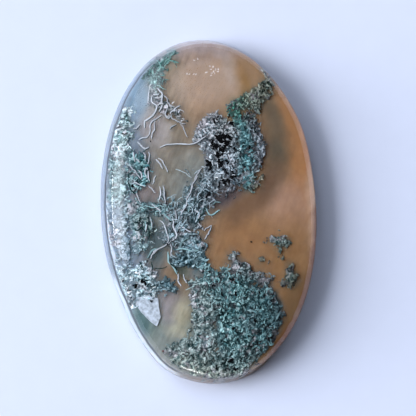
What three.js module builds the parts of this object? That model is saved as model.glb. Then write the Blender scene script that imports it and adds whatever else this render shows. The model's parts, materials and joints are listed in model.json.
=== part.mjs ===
// An oval moss agate cabochon, resting on its flat back. Millimetres, +Z up, long axis along Y,
// origin at the middle of the back. The stone is one polished piece, so it is one solid:
// a flat back, a small bevel, a side wall that leans in, and a low crown with a rounded shoulder.
import * as THREE from "three";

const LENGTH = 40; // tip to tip, along Y
const WIDTH = 25.4; // widest, along X
const HEIGHT = 6; // back to the top of the crown

const OVAL_POWER = 2.06; // 2 is a true ellipse, and more is fuller at the four quarters
const BEVEL = 0.35; // the ground edge between the back and the wall
const WALL_TOP = 2.1; // where the wall ends and the crown starts
const WALL_LEAN = 0.35; // how far the wall leans in on its way up
const CROWN_ACROSS = 2.35; // powers of the crown's section: the first keeps the top flat
const CROWN_UP = 1.9; // and the second rounds the shoulder

const SEGMENTS = 112; // round the oval
const CROWN_RINGS = 18; // from the wall to the top

// Where the hand grinding left the oval full or flat: the angle in degrees from +X towards +Y,
// how far the edge stands out (or in, below 0), and how wide the place is, in degrees.
const GRINDING = [
  { at: 40, out: 0.24, spread: 15 },
  { at: 222, out: -0.26, spread: 13 },
  { at: 250, out: 0.32, spread: 8 },
  { at: 292, out: -0.1, spread: 10 },
];

const HALF_LENGTH = LENGTH / 2;
const HALF_WIDTH = WIDTH / 2;

// Degrees from one angle to another, the short way round.
function degreesBetween(a, b) {
  const turn = Math.abs(a - b) % 360;
  return Math.min(turn, 360 - turn);
}

// Distance of the stone's widest edge from its middle, in the direction of an angle in radians.
function edgeRadius(angle) {
  const across = Math.abs(Math.cos(angle) / HALF_WIDTH) ** OVAL_POWER;
  const along = Math.abs(Math.sin(angle) / HALF_LENGTH) ** OVAL_POWER;
  const oval = (across + along) ** (-1 / OVAL_POWER);
  const degrees = THREE.MathUtils.radToDeg(angle);
  const ground = GRINDING.map(({ at, out, spread }) => {
    const away = degreesBetween(degrees, at) / spread;
    return out * Math.exp(-away * away);
  });
  return ground.reduce((sum, step) => sum + step, oval);
}

// Half of the stone's section, from the middle of the back, round the edge, to the top of the crown.
// Its x is a share of the edge radius, and its y is the height.
function section() {
  const points = [new THREE.Vector2(0, 0)];
  const share = (inset) => 1 - inset / HALF_WIDTH;
  points.push(new THREE.Vector2(share(BEVEL), 0));
  points.push(new THREE.Vector2(share(BEVEL * 0.3), BEVEL * 0.3));
  points.push(new THREE.Vector2(1, BEVEL));
  points.push(new THREE.Vector2(share(WALL_LEAN / 2), (BEVEL + WALL_TOP) / 2));
  for (let ring = 0; ring <= CROWN_RINGS; ring++) {
    const turn = (ring / CROWN_RINGS) * (Math.PI / 2);
    const across = Math.max(Math.cos(turn), 0) ** (2 / CROWN_ACROSS);
    const up = Math.sin(turn) ** (2 / CROWN_UP);
    const top = ring === CROWN_RINGS;
    points.push(
      new THREE.Vector2(
        top ? 0 : share(WALL_LEAN) * across,
        WALL_TOP + (HEIGHT - WALL_TOP) * up,
      ),
    );
  }
  return points;
}

// The section is turned about the upright axis, and each point is then pushed out to the oval.
function stoneShape() {
  const shape = new THREE.LatheGeometry(section(), SEGMENTS);
  shape.rotateX(Math.PI / 2);
  const position = shape.attributes.position;
  const point = new THREE.Vector3();
  for (let i = 0; i < position.count; i++) {
    point.fromBufferAttribute(position, i);
    const shareOut = Math.hypot(point.x, point.y);
    const angle = Math.atan2(point.y, point.x);
    const reach = shareOut * edgeRadius(angle);
    position.setXYZ(
      i,
      reach * Math.cos(angle),
      reach * Math.sin(angle),
      point.z,
    );
  }
  shape.computeBoundingBox();
  const middle = shape.boundingBox.getCenter(new THREE.Vector3());
  shape.translate(-middle.x, -middle.y, 0);
  return shape;
}

const chalcedony = new THREE.MeshStandardMaterial({
  color: new THREE.Color(0.63, 0.55, 0.47),
  roughness: 0.08,
  metalness: 0,
});

const stone = new THREE.Mesh(stoneShape(), chalcedony);
stone.name = "moss_agate";

const part = new THREE.Group();
part.add(stone);

export default part;
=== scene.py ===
"""A moss agate cabochon: cloudy chalcedony, moss grown in it, and a clear polished surface over both."""

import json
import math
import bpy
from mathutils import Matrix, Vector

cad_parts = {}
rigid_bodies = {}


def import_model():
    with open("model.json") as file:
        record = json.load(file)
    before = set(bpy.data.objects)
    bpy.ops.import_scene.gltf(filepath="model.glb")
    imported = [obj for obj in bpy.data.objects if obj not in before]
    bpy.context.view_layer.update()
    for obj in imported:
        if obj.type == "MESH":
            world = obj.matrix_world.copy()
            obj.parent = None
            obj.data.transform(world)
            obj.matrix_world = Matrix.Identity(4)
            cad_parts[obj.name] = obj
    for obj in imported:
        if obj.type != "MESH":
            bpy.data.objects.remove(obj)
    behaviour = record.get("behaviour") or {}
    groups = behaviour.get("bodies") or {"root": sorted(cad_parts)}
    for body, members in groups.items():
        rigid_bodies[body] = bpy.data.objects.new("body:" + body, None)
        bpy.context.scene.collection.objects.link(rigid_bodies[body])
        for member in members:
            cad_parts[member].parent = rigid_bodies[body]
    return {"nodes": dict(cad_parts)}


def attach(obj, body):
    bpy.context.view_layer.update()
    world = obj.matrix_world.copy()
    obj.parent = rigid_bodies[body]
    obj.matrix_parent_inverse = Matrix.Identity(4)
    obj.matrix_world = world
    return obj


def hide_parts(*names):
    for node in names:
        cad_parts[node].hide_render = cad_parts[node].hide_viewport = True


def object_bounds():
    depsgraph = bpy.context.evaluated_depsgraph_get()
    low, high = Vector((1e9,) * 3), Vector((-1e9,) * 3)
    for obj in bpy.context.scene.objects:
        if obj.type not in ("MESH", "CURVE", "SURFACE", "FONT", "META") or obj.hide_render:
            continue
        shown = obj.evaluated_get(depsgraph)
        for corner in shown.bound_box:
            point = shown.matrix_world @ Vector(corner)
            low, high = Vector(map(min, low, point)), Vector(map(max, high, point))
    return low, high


bl_info = {
    "name": "Moss Agate Cabochon",
    "version": (1, 0, 0),
    "blender": (4, 5, 0),
    "location": "View3D > Sidebar > Moss Agate",
    "description": "Dresses an oval cabochon with cloudy ground, moss strands and a polished surface",
    "category": "Object",
}

from collections import namedtuple

import bpy
import numpy as np
from bpy.props import FloatProperty, FloatVectorProperty, IntProperty, PointerProperty
from mathutils import Matrix, Vector, noise
from mathutils.bvhtree import BVHTree

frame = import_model()
CAD_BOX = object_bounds()
CROWN_TOP = CAD_BOX[1].z

STONE = "moss_agate"  # the stone's node
BODY = "root"
MM = 0.001

# The photograph's frame, in pixels. Places on the stone are read there and followed down to it.
PICTURE = 416
VIEW_WIDTH = 47.87 * MM  # what the picture spans at the stone
PIXEL = VIEW_WIDTH / PICTURE
VIEW_DISTANCE = 220 * MM
VIEW_AZIMUTH = math.radians(280)
VIEW_ELEVATION = math.radians(78)
VIEW_ROLL = math.radians(-3.5)
VIEW_MIDDLE = Vector((-0.57, 0.31, 2.5)) * MM  # the point that the camera looks at
EDGE_HEIGHT = 2 * MM  # of the stone's outline as the camera sees it


def srgb(red, green, blue):
    """A colour as seen on a screen, 0 to 255, as the linear colour that a material takes."""
    shares = [level / 255 for level in (red, green, blue)]
    return tuple(s / 12.92 if s <= 0.04045 else ((s + 0.055) / 1.055) ** 2.4 for s in shares)


# Clouds in the ground, from the widest to the smallest: the middle and half sizes in pixels of the
# photograph, how far its top leans right in degrees, how soft the edge is, how strong the cloud is, and its colour.
Cloud = namedtuple("Cloud", "name middle reach turn edge strength colour")
CLOUDS = [
    Cloud("lavender side", (112, 215), (44, 170), 4, 0.6, 1.0, srgb(130, 144, 158)),
    Cloud("blue shoulder", (138, 92), (20, 34), 25, 0.5, 0.9, srgb(116, 142, 160)),
    Cloud("grey by the window", (172, 95), (17, 60), 8, 0.6, 0.9, srgb(145, 138, 126)),
    Cloud("honey window", (225, 90), (50, 46), 0, 0.6, 0.9, srgb(158, 132, 106)),
    # Partly a pale cloud in the stone, partly painted reflection of the window beyond the tip.
    Cloud("pale band by the tip with painted reflection", (228, 64), (26, 8), 75, 0.8, 0.7, srgb(176, 160, 148)),
    Cloud("lilac tip", (197, 49), (40, 12), 0, 0.8, 0.9, srgb(158, 148, 148)),
    Cloud("dark honey", (246, 88), (8, 24), -12, 0.9, 0.8, srgb(150, 118, 78)),
    Cloud("olive middle", (184, 188), (36, 58), 8, 0.6, 1.0, srgb(140, 136, 126)),
    Cloud("blue streaks", (190, 206), (18, 44), 16, 0.8, 0.6, srgb(120, 134, 138)),
    Cloud("mauve hollow", (150, 196), (13, 11), 0, 0.5, 0.9, srgb(134, 125, 123)),
    Cloud("mauve loop", (158, 127), (11, 16), 0, 0.6, 0.9, srgb(166, 160, 158)),
    Cloud("grey hollow", (157, 246), (12, 21), -8, 0.5, 1.0, srgb(92, 104, 106)),
    # The next two are partly the stone's own honey and rose, partly painted glow of light that passes through the
    # stone to its right side.
    Cloud("right orange with painted glow", (297, 150), (18, 56), -8, 0.7, 0.9, srgb(170, 126, 87)),
    Cloud("rosy right with painted glow", (287, 208), (24, 26), 0, 0.8, 0.9, srgb(174, 144, 126)),
    Cloud("middle honey", (243, 236), (38, 24), 10, 0.7, 0.9, srgb(152, 117, 84)),
    Cloud("lower honey", (290, 262), (24, 46), -4, 0.8, 0.9, srgb(148, 114, 80)),
    Cloud("dark lower honey", (294, 318), (18, 42), 14, 0.7, 0.9, srgb(116, 92, 66)),
    # Painted shade: these four clouds darken the ground beside and under the moss, where its shadow falls.
    Cloud("shade by the crest", (272, 112), (9, 25), -28, 0.9, 0.9, srgb(112, 100, 84)),
    Cloud("shade by the heart", (277, 150), (13, 26), 0, 0.9, 1.0, srgb(102, 93, 79)),
    Cloud("shade under the heart", (266, 184), (12, 22), 36, 0.9, 1.0, srgb(114, 92, 76)),
    Cloud("painted brown shade under the moss", (244, 208), (10, 22), 55, 0.9, 0.9, srgb(122, 96, 76)),
    Cloud("mauve shade", (226, 196), (9, 18), 60, 0.8, 0.9, srgb(92, 86, 92)),
    # Painted glow along the right edge, where light comes through the stone.
    Cloud("cream edge with painted glow", (311, 192), (5, 56), 0, 0.8, 0.6, srgb(190, 164, 144)),
    Cloud("lower olive", (158, 330), (46, 42), 20, 0.6, 1.0, srgb(122, 134, 130)),
    Cloud("lilac by the shard", (170, 305), (12, 22), 0, 0.7, 0.8, srgb(146, 138, 140)),
    Cloud("blue wedge", (140, 322), (11, 18), -40, 0.5, 0.9, srgb(92, 120, 122)),
    Cloud("cream cloud", (183, 316), (9, 15), 10, 0.8, 0.8, srgb(168, 162, 140)),
    Cloud("low cream cloud", (178, 334), (12, 6), 20, 0.7, 0.8, srgb(176, 172, 152)),
    Cloud("pale olive foot", (180, 358), (36, 20), -10, 0.7, 0.8, srgb(146, 150, 147)),
    Cloud("amber hollow", (197, 275), (8, 8), 0, 0.7, 0.9, srgb(127, 131, 130)),
    Cloud("green hollow", (186, 263), (14, 5), 80, 0.7, 0.8, srgb(84, 102, 96)),
]

# Colours of moss: its dark gaps, its mass, its pale tips, and the haze that veils its depths.
Tint = namedtuple("Tint", "dark mass pale haze")
DEEP = Tint(srgb(26, 48, 54), srgb(66, 106, 114), srgb(122, 162, 166), srgb(88, 108, 110))
TEAL = Tint(srgb(8, 32, 34), srgb(74, 124, 130), srgb(158, 200, 202), srgb(106, 136, 142))
TUFT = Tint(srgb(18, 62, 56), srgb(66, 122, 114), srgb(146, 182, 178), srgb(108, 136, 134))
GREEN = Tint(srgb(2, 48, 40), srgb(16, 104, 88), srgb(80, 162, 142), srgb(56, 112, 94))
STRIP = Tint(srgb(28, 78, 84), srgb(80, 148, 154), srgb(136, 192, 198), srgb(98, 134, 140))
OLIVE = Tint(srgb(46, 58, 50), srgb(132, 142, 130), srgb(194, 202, 188), srgb(128, 126, 112))
LILAC = Tint(srgb(88, 94, 102), srgb(156, 167, 177), srgb(222, 232, 238), srgb(138, 140, 144))
SLATE = Tint(srgb(12, 20, 28), srgb(88, 114, 132), srgb(172, 186, 202), srgb(84, 96, 108))
GREY = Tint(srgb(26, 52, 58), srgb(98, 130, 142), srgb(176, 206, 216), srgb(114, 132, 138))
HAZE = Tint(srgb(52, 78, 80), srgb(130, 154, 156), srgb(194, 212, 212), srgb(138, 150, 148))
MINT = Tint(srgb(24, 58, 58), srgb(142, 174, 176), srgb(214, 232, 236), srgb(146, 164, 170))
FROST = Tint(srgb(16, 50, 52), srgb(176, 208, 218), srgb(240, 252, 255), srgb(172, 192, 204))
FAINT = Tint(srgb(92, 130, 132), srgb(142, 172, 174), srgb(184, 208, 212), srgb(146, 162, 172))
FOG = Tint(srgb(104, 106, 104), srgb(142, 140, 136), srgb(176, 176, 176), srgb(148, 140, 132))
VEILED = Tint(srgb(106, 122, 124), srgb(144, 163, 171), srgb(176, 196, 206), srgb(146, 154, 154))
MAUVE = Tint(srgb(70, 70, 78), srgb(114, 118, 128), srgb(168, 176, 186), srgb(112, 108, 110))
CREAM = Tint(srgb(84, 84, 70), srgb(144, 142, 122), srgb(190, 186, 162), srgb(128, 114, 94))
DUSK = Tint(srgb(60, 76, 74), srgb(96, 114, 110), srgb(132, 146, 138), srgb(120, 112, 96))

# Beds of moss, each along a spine of places in pixels with the bed's half width there. Then come
# the kind of its strands, the way that they run in degrees (None for any way), its tint, and how
# many strands of its mass, its dark gaps and its pale tips there are to a square millimetre.
Bed = namedtuple("Bed", "name spine kind flow tint mass dark pale")
BEDS = [
    Bed("upper tuft", [(174, 49, 2), (168, 57, 6), (160, 65, 9), (155, 75, 9), (156, 86, 6)],
        "thread", 64, TUFT, 13, 4, 3),
    Bed("web", [(153, 92, 5), (158, 101, 8), (167, 108, 8), (177, 112, 6), (184, 122, 4)],
        "curl", None,
        Tint(srgb(112, 116, 116), srgb(156, 160, 162), srgb(208, 212, 218), srgb(150, 146, 140)), 7, 2, 5),
    Bed("left granules", [(127, 111, 5), (123, 122, 9), (119, 136, 12), (118, 150, 11)],
        "grain", None, MINT, 12, 7, 11),
    Bed("left speckle", [(117, 160, 10), (120, 176, 13), (119, 196, 11)],
        "grain", None, FAINT, 7, 5, 6),
    Bed("faint speckle", [(131, 206, 8), (138, 226, 9), (142, 246, 9)],
        "grain", None, FAINT, 6, 2, 4),
    Bed("left veil", [(114, 208, 7), (119, 226, 11), (123, 246, 11), (128, 260, 8)],
        "grain", None,
        Tint(srgb(112, 136, 146), srgb(150, 168, 184), srgb(198, 212, 224), srgb(146, 162, 178)), 4.5, 2, 4),
    Bed("left tangle", [(132, 156, 5), (143, 162, 8), (140, 176, 11), (136, 186, 6)],
        "curl", None, TEAL, 10, 4, 4),
    Bed("middle tangle", [(138, 208, 6), (150, 208, 6), (162, 208, 7), (169, 214, 5)],
        "curl", None, TEAL, 12, 4, 5),
    Bed("dark tangle", [(138, 218, 6), (149, 224, 7), (149, 236, 5)],
        "curl", None,
        Tint(srgb(14, 26, 30), srgb(74, 102, 104), srgb(190, 206, 196), srgb(90, 104, 104)), 10, 7, 4),
    Bed("green crest", [(243, 100, 4), (237, 105, 7), (236, 113, 7), (240, 121, 5)],
        "grain", None, GREEN, 26, 5, 2),
    Bed("crest to the rim", [(245, 104, 7), (253, 98, 9), (261, 91, 7), (268, 85, 6), (267, 78, 4),
                             (261, 70, 2)], "grain", None, OLIVE, 15, 5, 9),
    Bed("crest's shade", [(252, 112, 8), (260, 104, 7), (270, 92, 4)],
        "curl", None, DUSK, 6, 2, 2),
    Bed("white heart", [(204, 138, 10), (216, 124, 11), (222, 138, 19), (223, 158, 18), (220, 174, 15),
                        (213, 184, 8)], "curl", None, LILAC, 12, 5, 9),
    Bed("heart's veil", [(218, 126, 6), (229, 131, 7)], "curl", None, FOG, 12, 1, 3),
    Bed("heart's crown", [(201, 138, 6), (206, 128, 7), (213, 121, 6)], "curl", None,
        Tint(srgb(96, 100, 106), srgb(152, 160, 168), srgb(214, 222, 230), srgb(142, 140, 142)), 12, 1, 3),
    Bed("mauve lumps", [(212, 199, 5), (222, 194, 6), (234, 187, 5)], "curl", None, MAUVE, 6, 3, 3),
    Bed("cream tips", [(252, 188, 2), (258, 183, 3), (262, 177, 2)], "grain", None, CREAM, 9, 2, 3),
    Bed("slate heart", [(226, 168, 7), (236, 178, 6)], "curl", None, SLATE, 12, 7, 4),
    Bed("teal strip", [(240, 118, 4), (243, 128, 6), (246, 141, 8), (247, 154, 9), (248, 168, 9),
                       (248, 180, 7), (248, 188, 4)], "curl", None, STRIP, 16, 4, 5),
    Bed("grey lumps", [(251, 120, 7), (255, 132, 7), (259, 146, 7), (259, 158, 6), (256, 168, 4)],
        "curl", None, MAUVE, 9, 4, 4),
    Bed("heart's tail", [(212, 178, 8), (205, 192, 10), (199, 206, 10), (193, 220, 9)],
        "thread", 62,
        Tint(srgb(36, 62, 70), srgb(116, 142, 154), srgb(194, 214, 224), srgb(124, 138, 144)), 10, 4, 5),
    Bed("long streaks", [(195, 178, 6), (189, 196, 9), (182, 214, 10), (178, 232, 10)],
        "thread", 66, VEILED, 5, 0.5, 2),
    Bed("veiled wisps", [(166, 194, 5), (169, 210, 7), (171, 226, 8), (176, 242, 7)],
        "thread", 76, VEILED, 5, 1, 2),
    Bed("grey tangle", [(168, 236, 8), (182, 240, 11), (196, 246, 12), (196, 258, 10), (178, 262, 7)],
        "curl", None, GREY, 10, 4, 5),
    Bed("great clump", [(222, 284, 14), (236, 296, 24), (246, 314, 30), (243, 336, 27), (240, 352, 18)],
        "curl", None, TEAL, 14, 8, 6),
    Bed("clump's deep side", [(262, 296, 11), (270, 316, 11), (264, 338, 12)],
        "curl", None, DEEP, 14, 4, 2),
    Bed("clump's hazy side", [(272, 298, 7), (277, 314, 8), (273, 330, 7)], "curl", None,
        Tint(srgb(60, 84, 90), srgb(96, 122, 130), srgb(126, 154, 162), srgb(92, 108, 112)), 14, 1, 1),
    Bed("clump's shoulder", [(203, 266, 6), (209, 274, 8), (208, 284, 7)], "curl", None, TEAL, 12, 6, 6),
    Bed("clump's dark fold", [(250, 308, 4), (254, 316, 5), (252, 325, 4)], "curl", None,
        Tint(srgb(24, 28, 34), srgb(70, 78, 90), srgb(132, 144, 154), srgb(84, 84, 90)), 14, 6, 2),
    Bed("clump's pale side", [(198, 286, 8), (205, 304, 13), (206, 322, 12), (205, 340, 13),
                              (198, 354, 9)], "curl", None, HAZE, 12, 4, 4),
    Bed("clump's crest", [(234, 258, 5), (240, 268, 8), (254, 276, 6), (268, 282, 5)],
        "curl", None,
        Tint(srgb(72, 82, 84), srgb(112, 124, 128), srgb(164, 176, 180), srgb(118, 122, 122)), 10, 2, 4),
    Bed("lower left moss", [(134, 274, 8), (146, 272, 10), (148, 290, 10)],
        "grain", None, FROST, 12, 8, 9),
    Bed("lower left sprig", [(158, 285, 5), (168, 285, 7), (175, 290, 4)],
        "curl", None, GREY, 9, 4, 6),
    Bed("left edge moss", [(118, 264, 4), (122, 280, 6), (129, 299, 7), (134, 307, 3)],
        "grain", None, FROST, 11, 7, 7),
    Bed("foot moss", [(214, 362, 11), (234, 364, 13), (250, 358, 9)], "curl", None, HAZE, 11, 9, 7),
    Bed("olive foot", [(196, 371, 6), (212, 376, 7), (228, 377, 6), (244, 372, 6)],
        "curl", None, OLIVE, 11, 2, 5),
    Bed("low tongue", [(172, 351, 5), (182, 348, 8), (192, 345, 7)], "curl", None, HAZE, 9, 3, 4),
    Bed("hazy foot", [(176, 357, 6), (186, 362, 10), (200, 366, 11)], "curl", None,
        Tint(srgb(92, 112, 110), srgb(132, 150, 146), srgb(176, 190, 182), srgb(148, 152, 144)), 7, 2, 4),
    Bed("right islet", [(271, 239, 4), (279, 240, 6), (286, 243, 5)], "grain", None,
        Tint(srgb(76, 98, 98), srgb(112, 136, 136), srgb(152, 172, 170), srgb(120, 126, 116)), 10, 2, 3),
    Bed("islet's stem", [(281, 246, 2), (281, 252, 1.5), (282, 257, 1.5)], "grain", None, DUSK, 9, 1, 1),
    Bed("right patch", [(291, 266, 4), (291, 278, 7), (284, 283, 4)], "grain", None, DUSK, 12, 3, 1),
    Bed("crumb", [(260, 261, 2), (264, 259, 3)], "grain", None, DUSK, 9, 1, 1),
]

# Kinds of strand, in millimetres: the shortest and longest, the thinnest and thickest, how tightly
# they curl in radians to a millimetre, and how far they stray from the way that their bed runs.
Kind = namedtuple("Kind", "length thickness curl stray")
KINDS = {
    "curl": Kind((0.30, 0.70), (0.15, 0.25), 5.5, 0.7),
    "thread": Kind((0.70, 1.80), (0.12, 0.19), 1.4, 0.3),
    "grain": Kind((0.18, 0.40), (0.14, 0.24), 6.0, 0.8),
}

# The layers of a bed, from the deepest to the highest: how many strands each has for each one of a
# value of the bed, how deep they lie in millimetres, how thick and how long they are as shares of
# their kind's, how much more they curl, how flat they are, and the two colours that theirs lies between.
Layer = namedtuple("Layer", "name share count depth thickness length curl flat colours")
LAYERS = [
    Layer("flakes", 0.45, "mass", (0.26, 0.46), 1.1, 0.9, 1.2, 0.55, ("mass", "pale")),
    Layer("gaps", 0.4, "dark", (0.20, 0.32), 0.75, 0.8, 1.2, 0.8, ("dark", "mass")),
    Layer("tips", 0.8, "pale", (0.14, 0.30), 0.55, 1.2, 1.5, 1.0, ("pale", "mass")),
]
TOWARDS = {"flakes": (0.0, 0.75), "gaps": (0.0, 0.2), "tips": (-0.2, 0.4)}
LUMP_HEIGHT = 0.16  # millimetres that lumps of moss rise and hollows sink
HOLLOW = {"flakes": -0.35, "gaps": -1, "tips": -0.25}  # the deepest hollow each fills
TONE_CHANCE = 0.16  # how much paler or darker each strand is by chance
PIT = {"flakes": -0.12, "gaps": -1, "tips": -0.05}  # the same for small pits
FADE = 0.6  # millimetres inside a bed's edge over which its strands sink and fade
EDGE_SINK = 0.12
VEIL = 0.5
BLEND = 0.45  # millimetres over which the tint of one bed runs into the next

# The flaky mass under the strands, as a sheet with relief. Sizes in millimetres, and depths as
# shares of the way from the polished surface down to the cloudy ground.
MASS_GRID = 0.068
MASS_DEPTH = 0.62
MASS_LUMPS = 0.2
MASS_RELIEF = 0.16
MASS_THICKNESS = 0.12
MASS_EDGE = 0.5  # inside a bed's edge over which the mass rises from the ground
FLAKE_SIZE = 0.30
FLAKE_STRETCH = 4.5  # of the flakes in beds whose strands run one way
FLAKE_WARP = 0.16
CRACK = 0.16  # half the width of the cracks between flakes, in flakes
FULL_MASS = 9  # strands to a square millimetre of the beds that the mass fills without holes
FLOW = math.radians(64)
CRACK_SHADE = 0.25  # how dark cracks are, as a share of the bed's dark colour; partly the moss's own dark and partly painted shade in the recesses between flakes
MOST_PALE = 1.35  # of the way from a bed's own colour to its pale one
MIST = 1.3  # of haze over parts of the mass
MOST_MIST = 0.55
BROAD_TONE = 0.7  # how much the tone varies over several millimetres
MASS_HAZE = 0.75  # how hazy the mass is at its very edge
TONE_SPREAD = 2.5  # how much the flakes differ
LUMP_LIGHT_AND_SHADE = 0.8  # painted light and shade: how much paler lumps are than hollows
TONE_SIDE = 0.5  # how much paler the lit side of a flake is
TONE_DRIFT = 1.6  # how much the colour drifts to grey in places
GREYER = (1.02, 0.98, 1.06)
CURL_WIDTH = 0.09  # of pale curls that run over the flakes, in the noise that draws them

PIECES = {
    "upper_moss": ("upper tuft", "web", "green crest", "crest to the rim", "crest's shade"),
    "left_moss": ("left granules", "left speckle", "left veil", "faint speckle", "left tangle",
                  "middle tangle", "dark tangle"),
    "heart_moss": ("white heart", "heart's veil", "heart's crown", "mauve lumps", "cream tips", "slate heart", "teal strip", "grey lumps", "heart's tail",
                   "long streaks", "veiled wisps", "grey tangle"),
    "great_moss": ("great clump", "clump's deep side", "clump's hazy side", "clump's shoulder",
                   "clump's dark fold", "clump's crest", "right islet", "islet's stem",
                   "right patch", "crumb"),
    "lower_moss": ("clump's pale side", "lower left moss", "lower left sprig", "left edge moss",
                   "foot moss", "olive foot", "low tongue", "hazy foot"),
}
INSIDE_PIECES = ("cloudy_ground", *PIECES, "threads", "specks", "milky_shard")
EDGE_GRAIN = 1.3  # how fine the noise is that makes a bed's edge ragged
EDGE_RAGGED = 0.65  # millimetres that a bed's edge strays in and out

# Black specks of manganese: the middle in pixels, and how far each reaches in pixels.
SPECKS = [
    (214, 121, 1.6), (217, 118, 1.6), (218.5, 121, 1.2), (229.6, 116, 1.4), (231, 123, 1.8),
    (219.3, 133.3, 1.3), (216.8, 136.4, 2.0), (222.9, 136, 2.2), (227.9, 137.5, 1.8),
    (230.6, 140.2, 1.4), (212.5, 143.4, 2.8), (218.3, 140.6, 2.4), (222, 141.5, 1.8),
    (226.6, 142, 2.2), (216.5, 146.5, 2.4), (224.1, 147.6, 2.0), (220.6, 149, 1.8),
    (213.4, 149.5, 1.4), (217, 151.5, 1.6), (223.3, 152.6, 1.4), (229.8, 146.2, 1.2),
    (234, 147.2, 1.6), (219.3, 155.6, 2.2), (219.9, 160.9, 1.8), (220.6, 165.5, 1.8),
    (228.3, 161.4, 1.8), (223.8, 160.2, 1.2), (209.5, 164.2, 2.6), (210.8, 169, 1.4),
    (212.4, 172.3, 0.9), (223.3, 170, 1.5), (231.7, 171.8, 1.3), (228.3, 174.8, 1.6),
    (233.6, 176.6, 1.8), (228.9, 179.6, 1.6), (230, 182.2, 1.5), (223.3, 181, 1.7),
    (219.6, 184.6, 1.6), (218, 187.6, 1.2), (225.6, 183.9, 1.1), (209, 194.4, 2.0),
    (211.5, 191.3, 1.2), (206.5, 199, 1.1), (207, 147, 1.0), (244.4, 167, 1.0),
    (246.8, 118.7, 1.1), (251.5, 127.4, 1.0), (254.9, 128.6, 1.2), (255.8, 131.6, 1.1),
    (248.7, 141.3, 0.9), (249.5, 144.8, 1.2), (250.3, 147.9, 1.4), (259.6, 151, 1.0),
    (264.5, 84, 1.5), (262, 87, 1.1), (267.4, 86.8, 1.2), (264.6, 89.4, 1.1),
    (221.4, 294, 1.6), (213.4, 284.8, 1.3), (233.9, 280.4, 1.0), (235.2, 294.2, 1.6),
    (239, 297.2, 1.0), (252.7, 292, 1.2), (259.8, 291.5, 1.3), (252.7, 308.5, 1.2),
    (210.7, 311.6, 1.1), (214.3, 308.5, 1.1), (209.8, 302.7, 1.1), (218.8, 305.4, 1.4),
    (233, 329, 1.6), (238.4, 338.4, 1.2), (245, 348.2, 1.2), (251.8, 346.4, 1.3),
    (216, 367.9, 1.6), (228.6, 366, 1.1), (235.7, 369.6, 1.7), (231.2, 360.7, 1.8),
    (257, 365, 1.4), (241, 318, 1.3), (256, 322, 1.5),
    (122.7, 280.4, 1.5), (124.3, 296, 1.6), (125.8, 300.4, 1.1), (135.2, 285.7, 1.8),
    (141.4, 281.7, 1.8), (145.4, 284, 1.6), (150.4, 287.5, 1.2), (150.4, 300.4, 1.5),
    (147.7, 260.7, 1.1), (149.5, 275.9, 1.2), (122.8, 133.2, 1.3), (125.7, 132.8, 1.1),
    (123, 135.6, 1.0), (112.5, 133.5, 1.0), (150.7, 142, 1.0), (250.7, 241.5, 1.1),
    (128.7, 243.3, 1.0), (138.5, 173.3, 0.9), (133.2, 186.4, 1.5), (137, 223, 0.9),
    (141.5, 222.3, 0.9), (140.5, 218.6, 1.0), (146.5, 211.8, 0.9), (171.1, 221.6, 0.9),
    (167.9, 245, 1.1), (172, 241.2, 0.9), (197, 226, 1.1), (201.5, 228, 1.1),
    (200, 239, 0.9), (190.2, 211.6, 0.9), (191, 356.2, 1.1), (180.7, 372.8, 0.9),
    (184.3, 373, 0.8), (205.5, 202, 0.8), (190, 240, 0.8), (292.6, 277.3, 0.9),
    (293.4, 286, 1.0),
]

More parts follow.
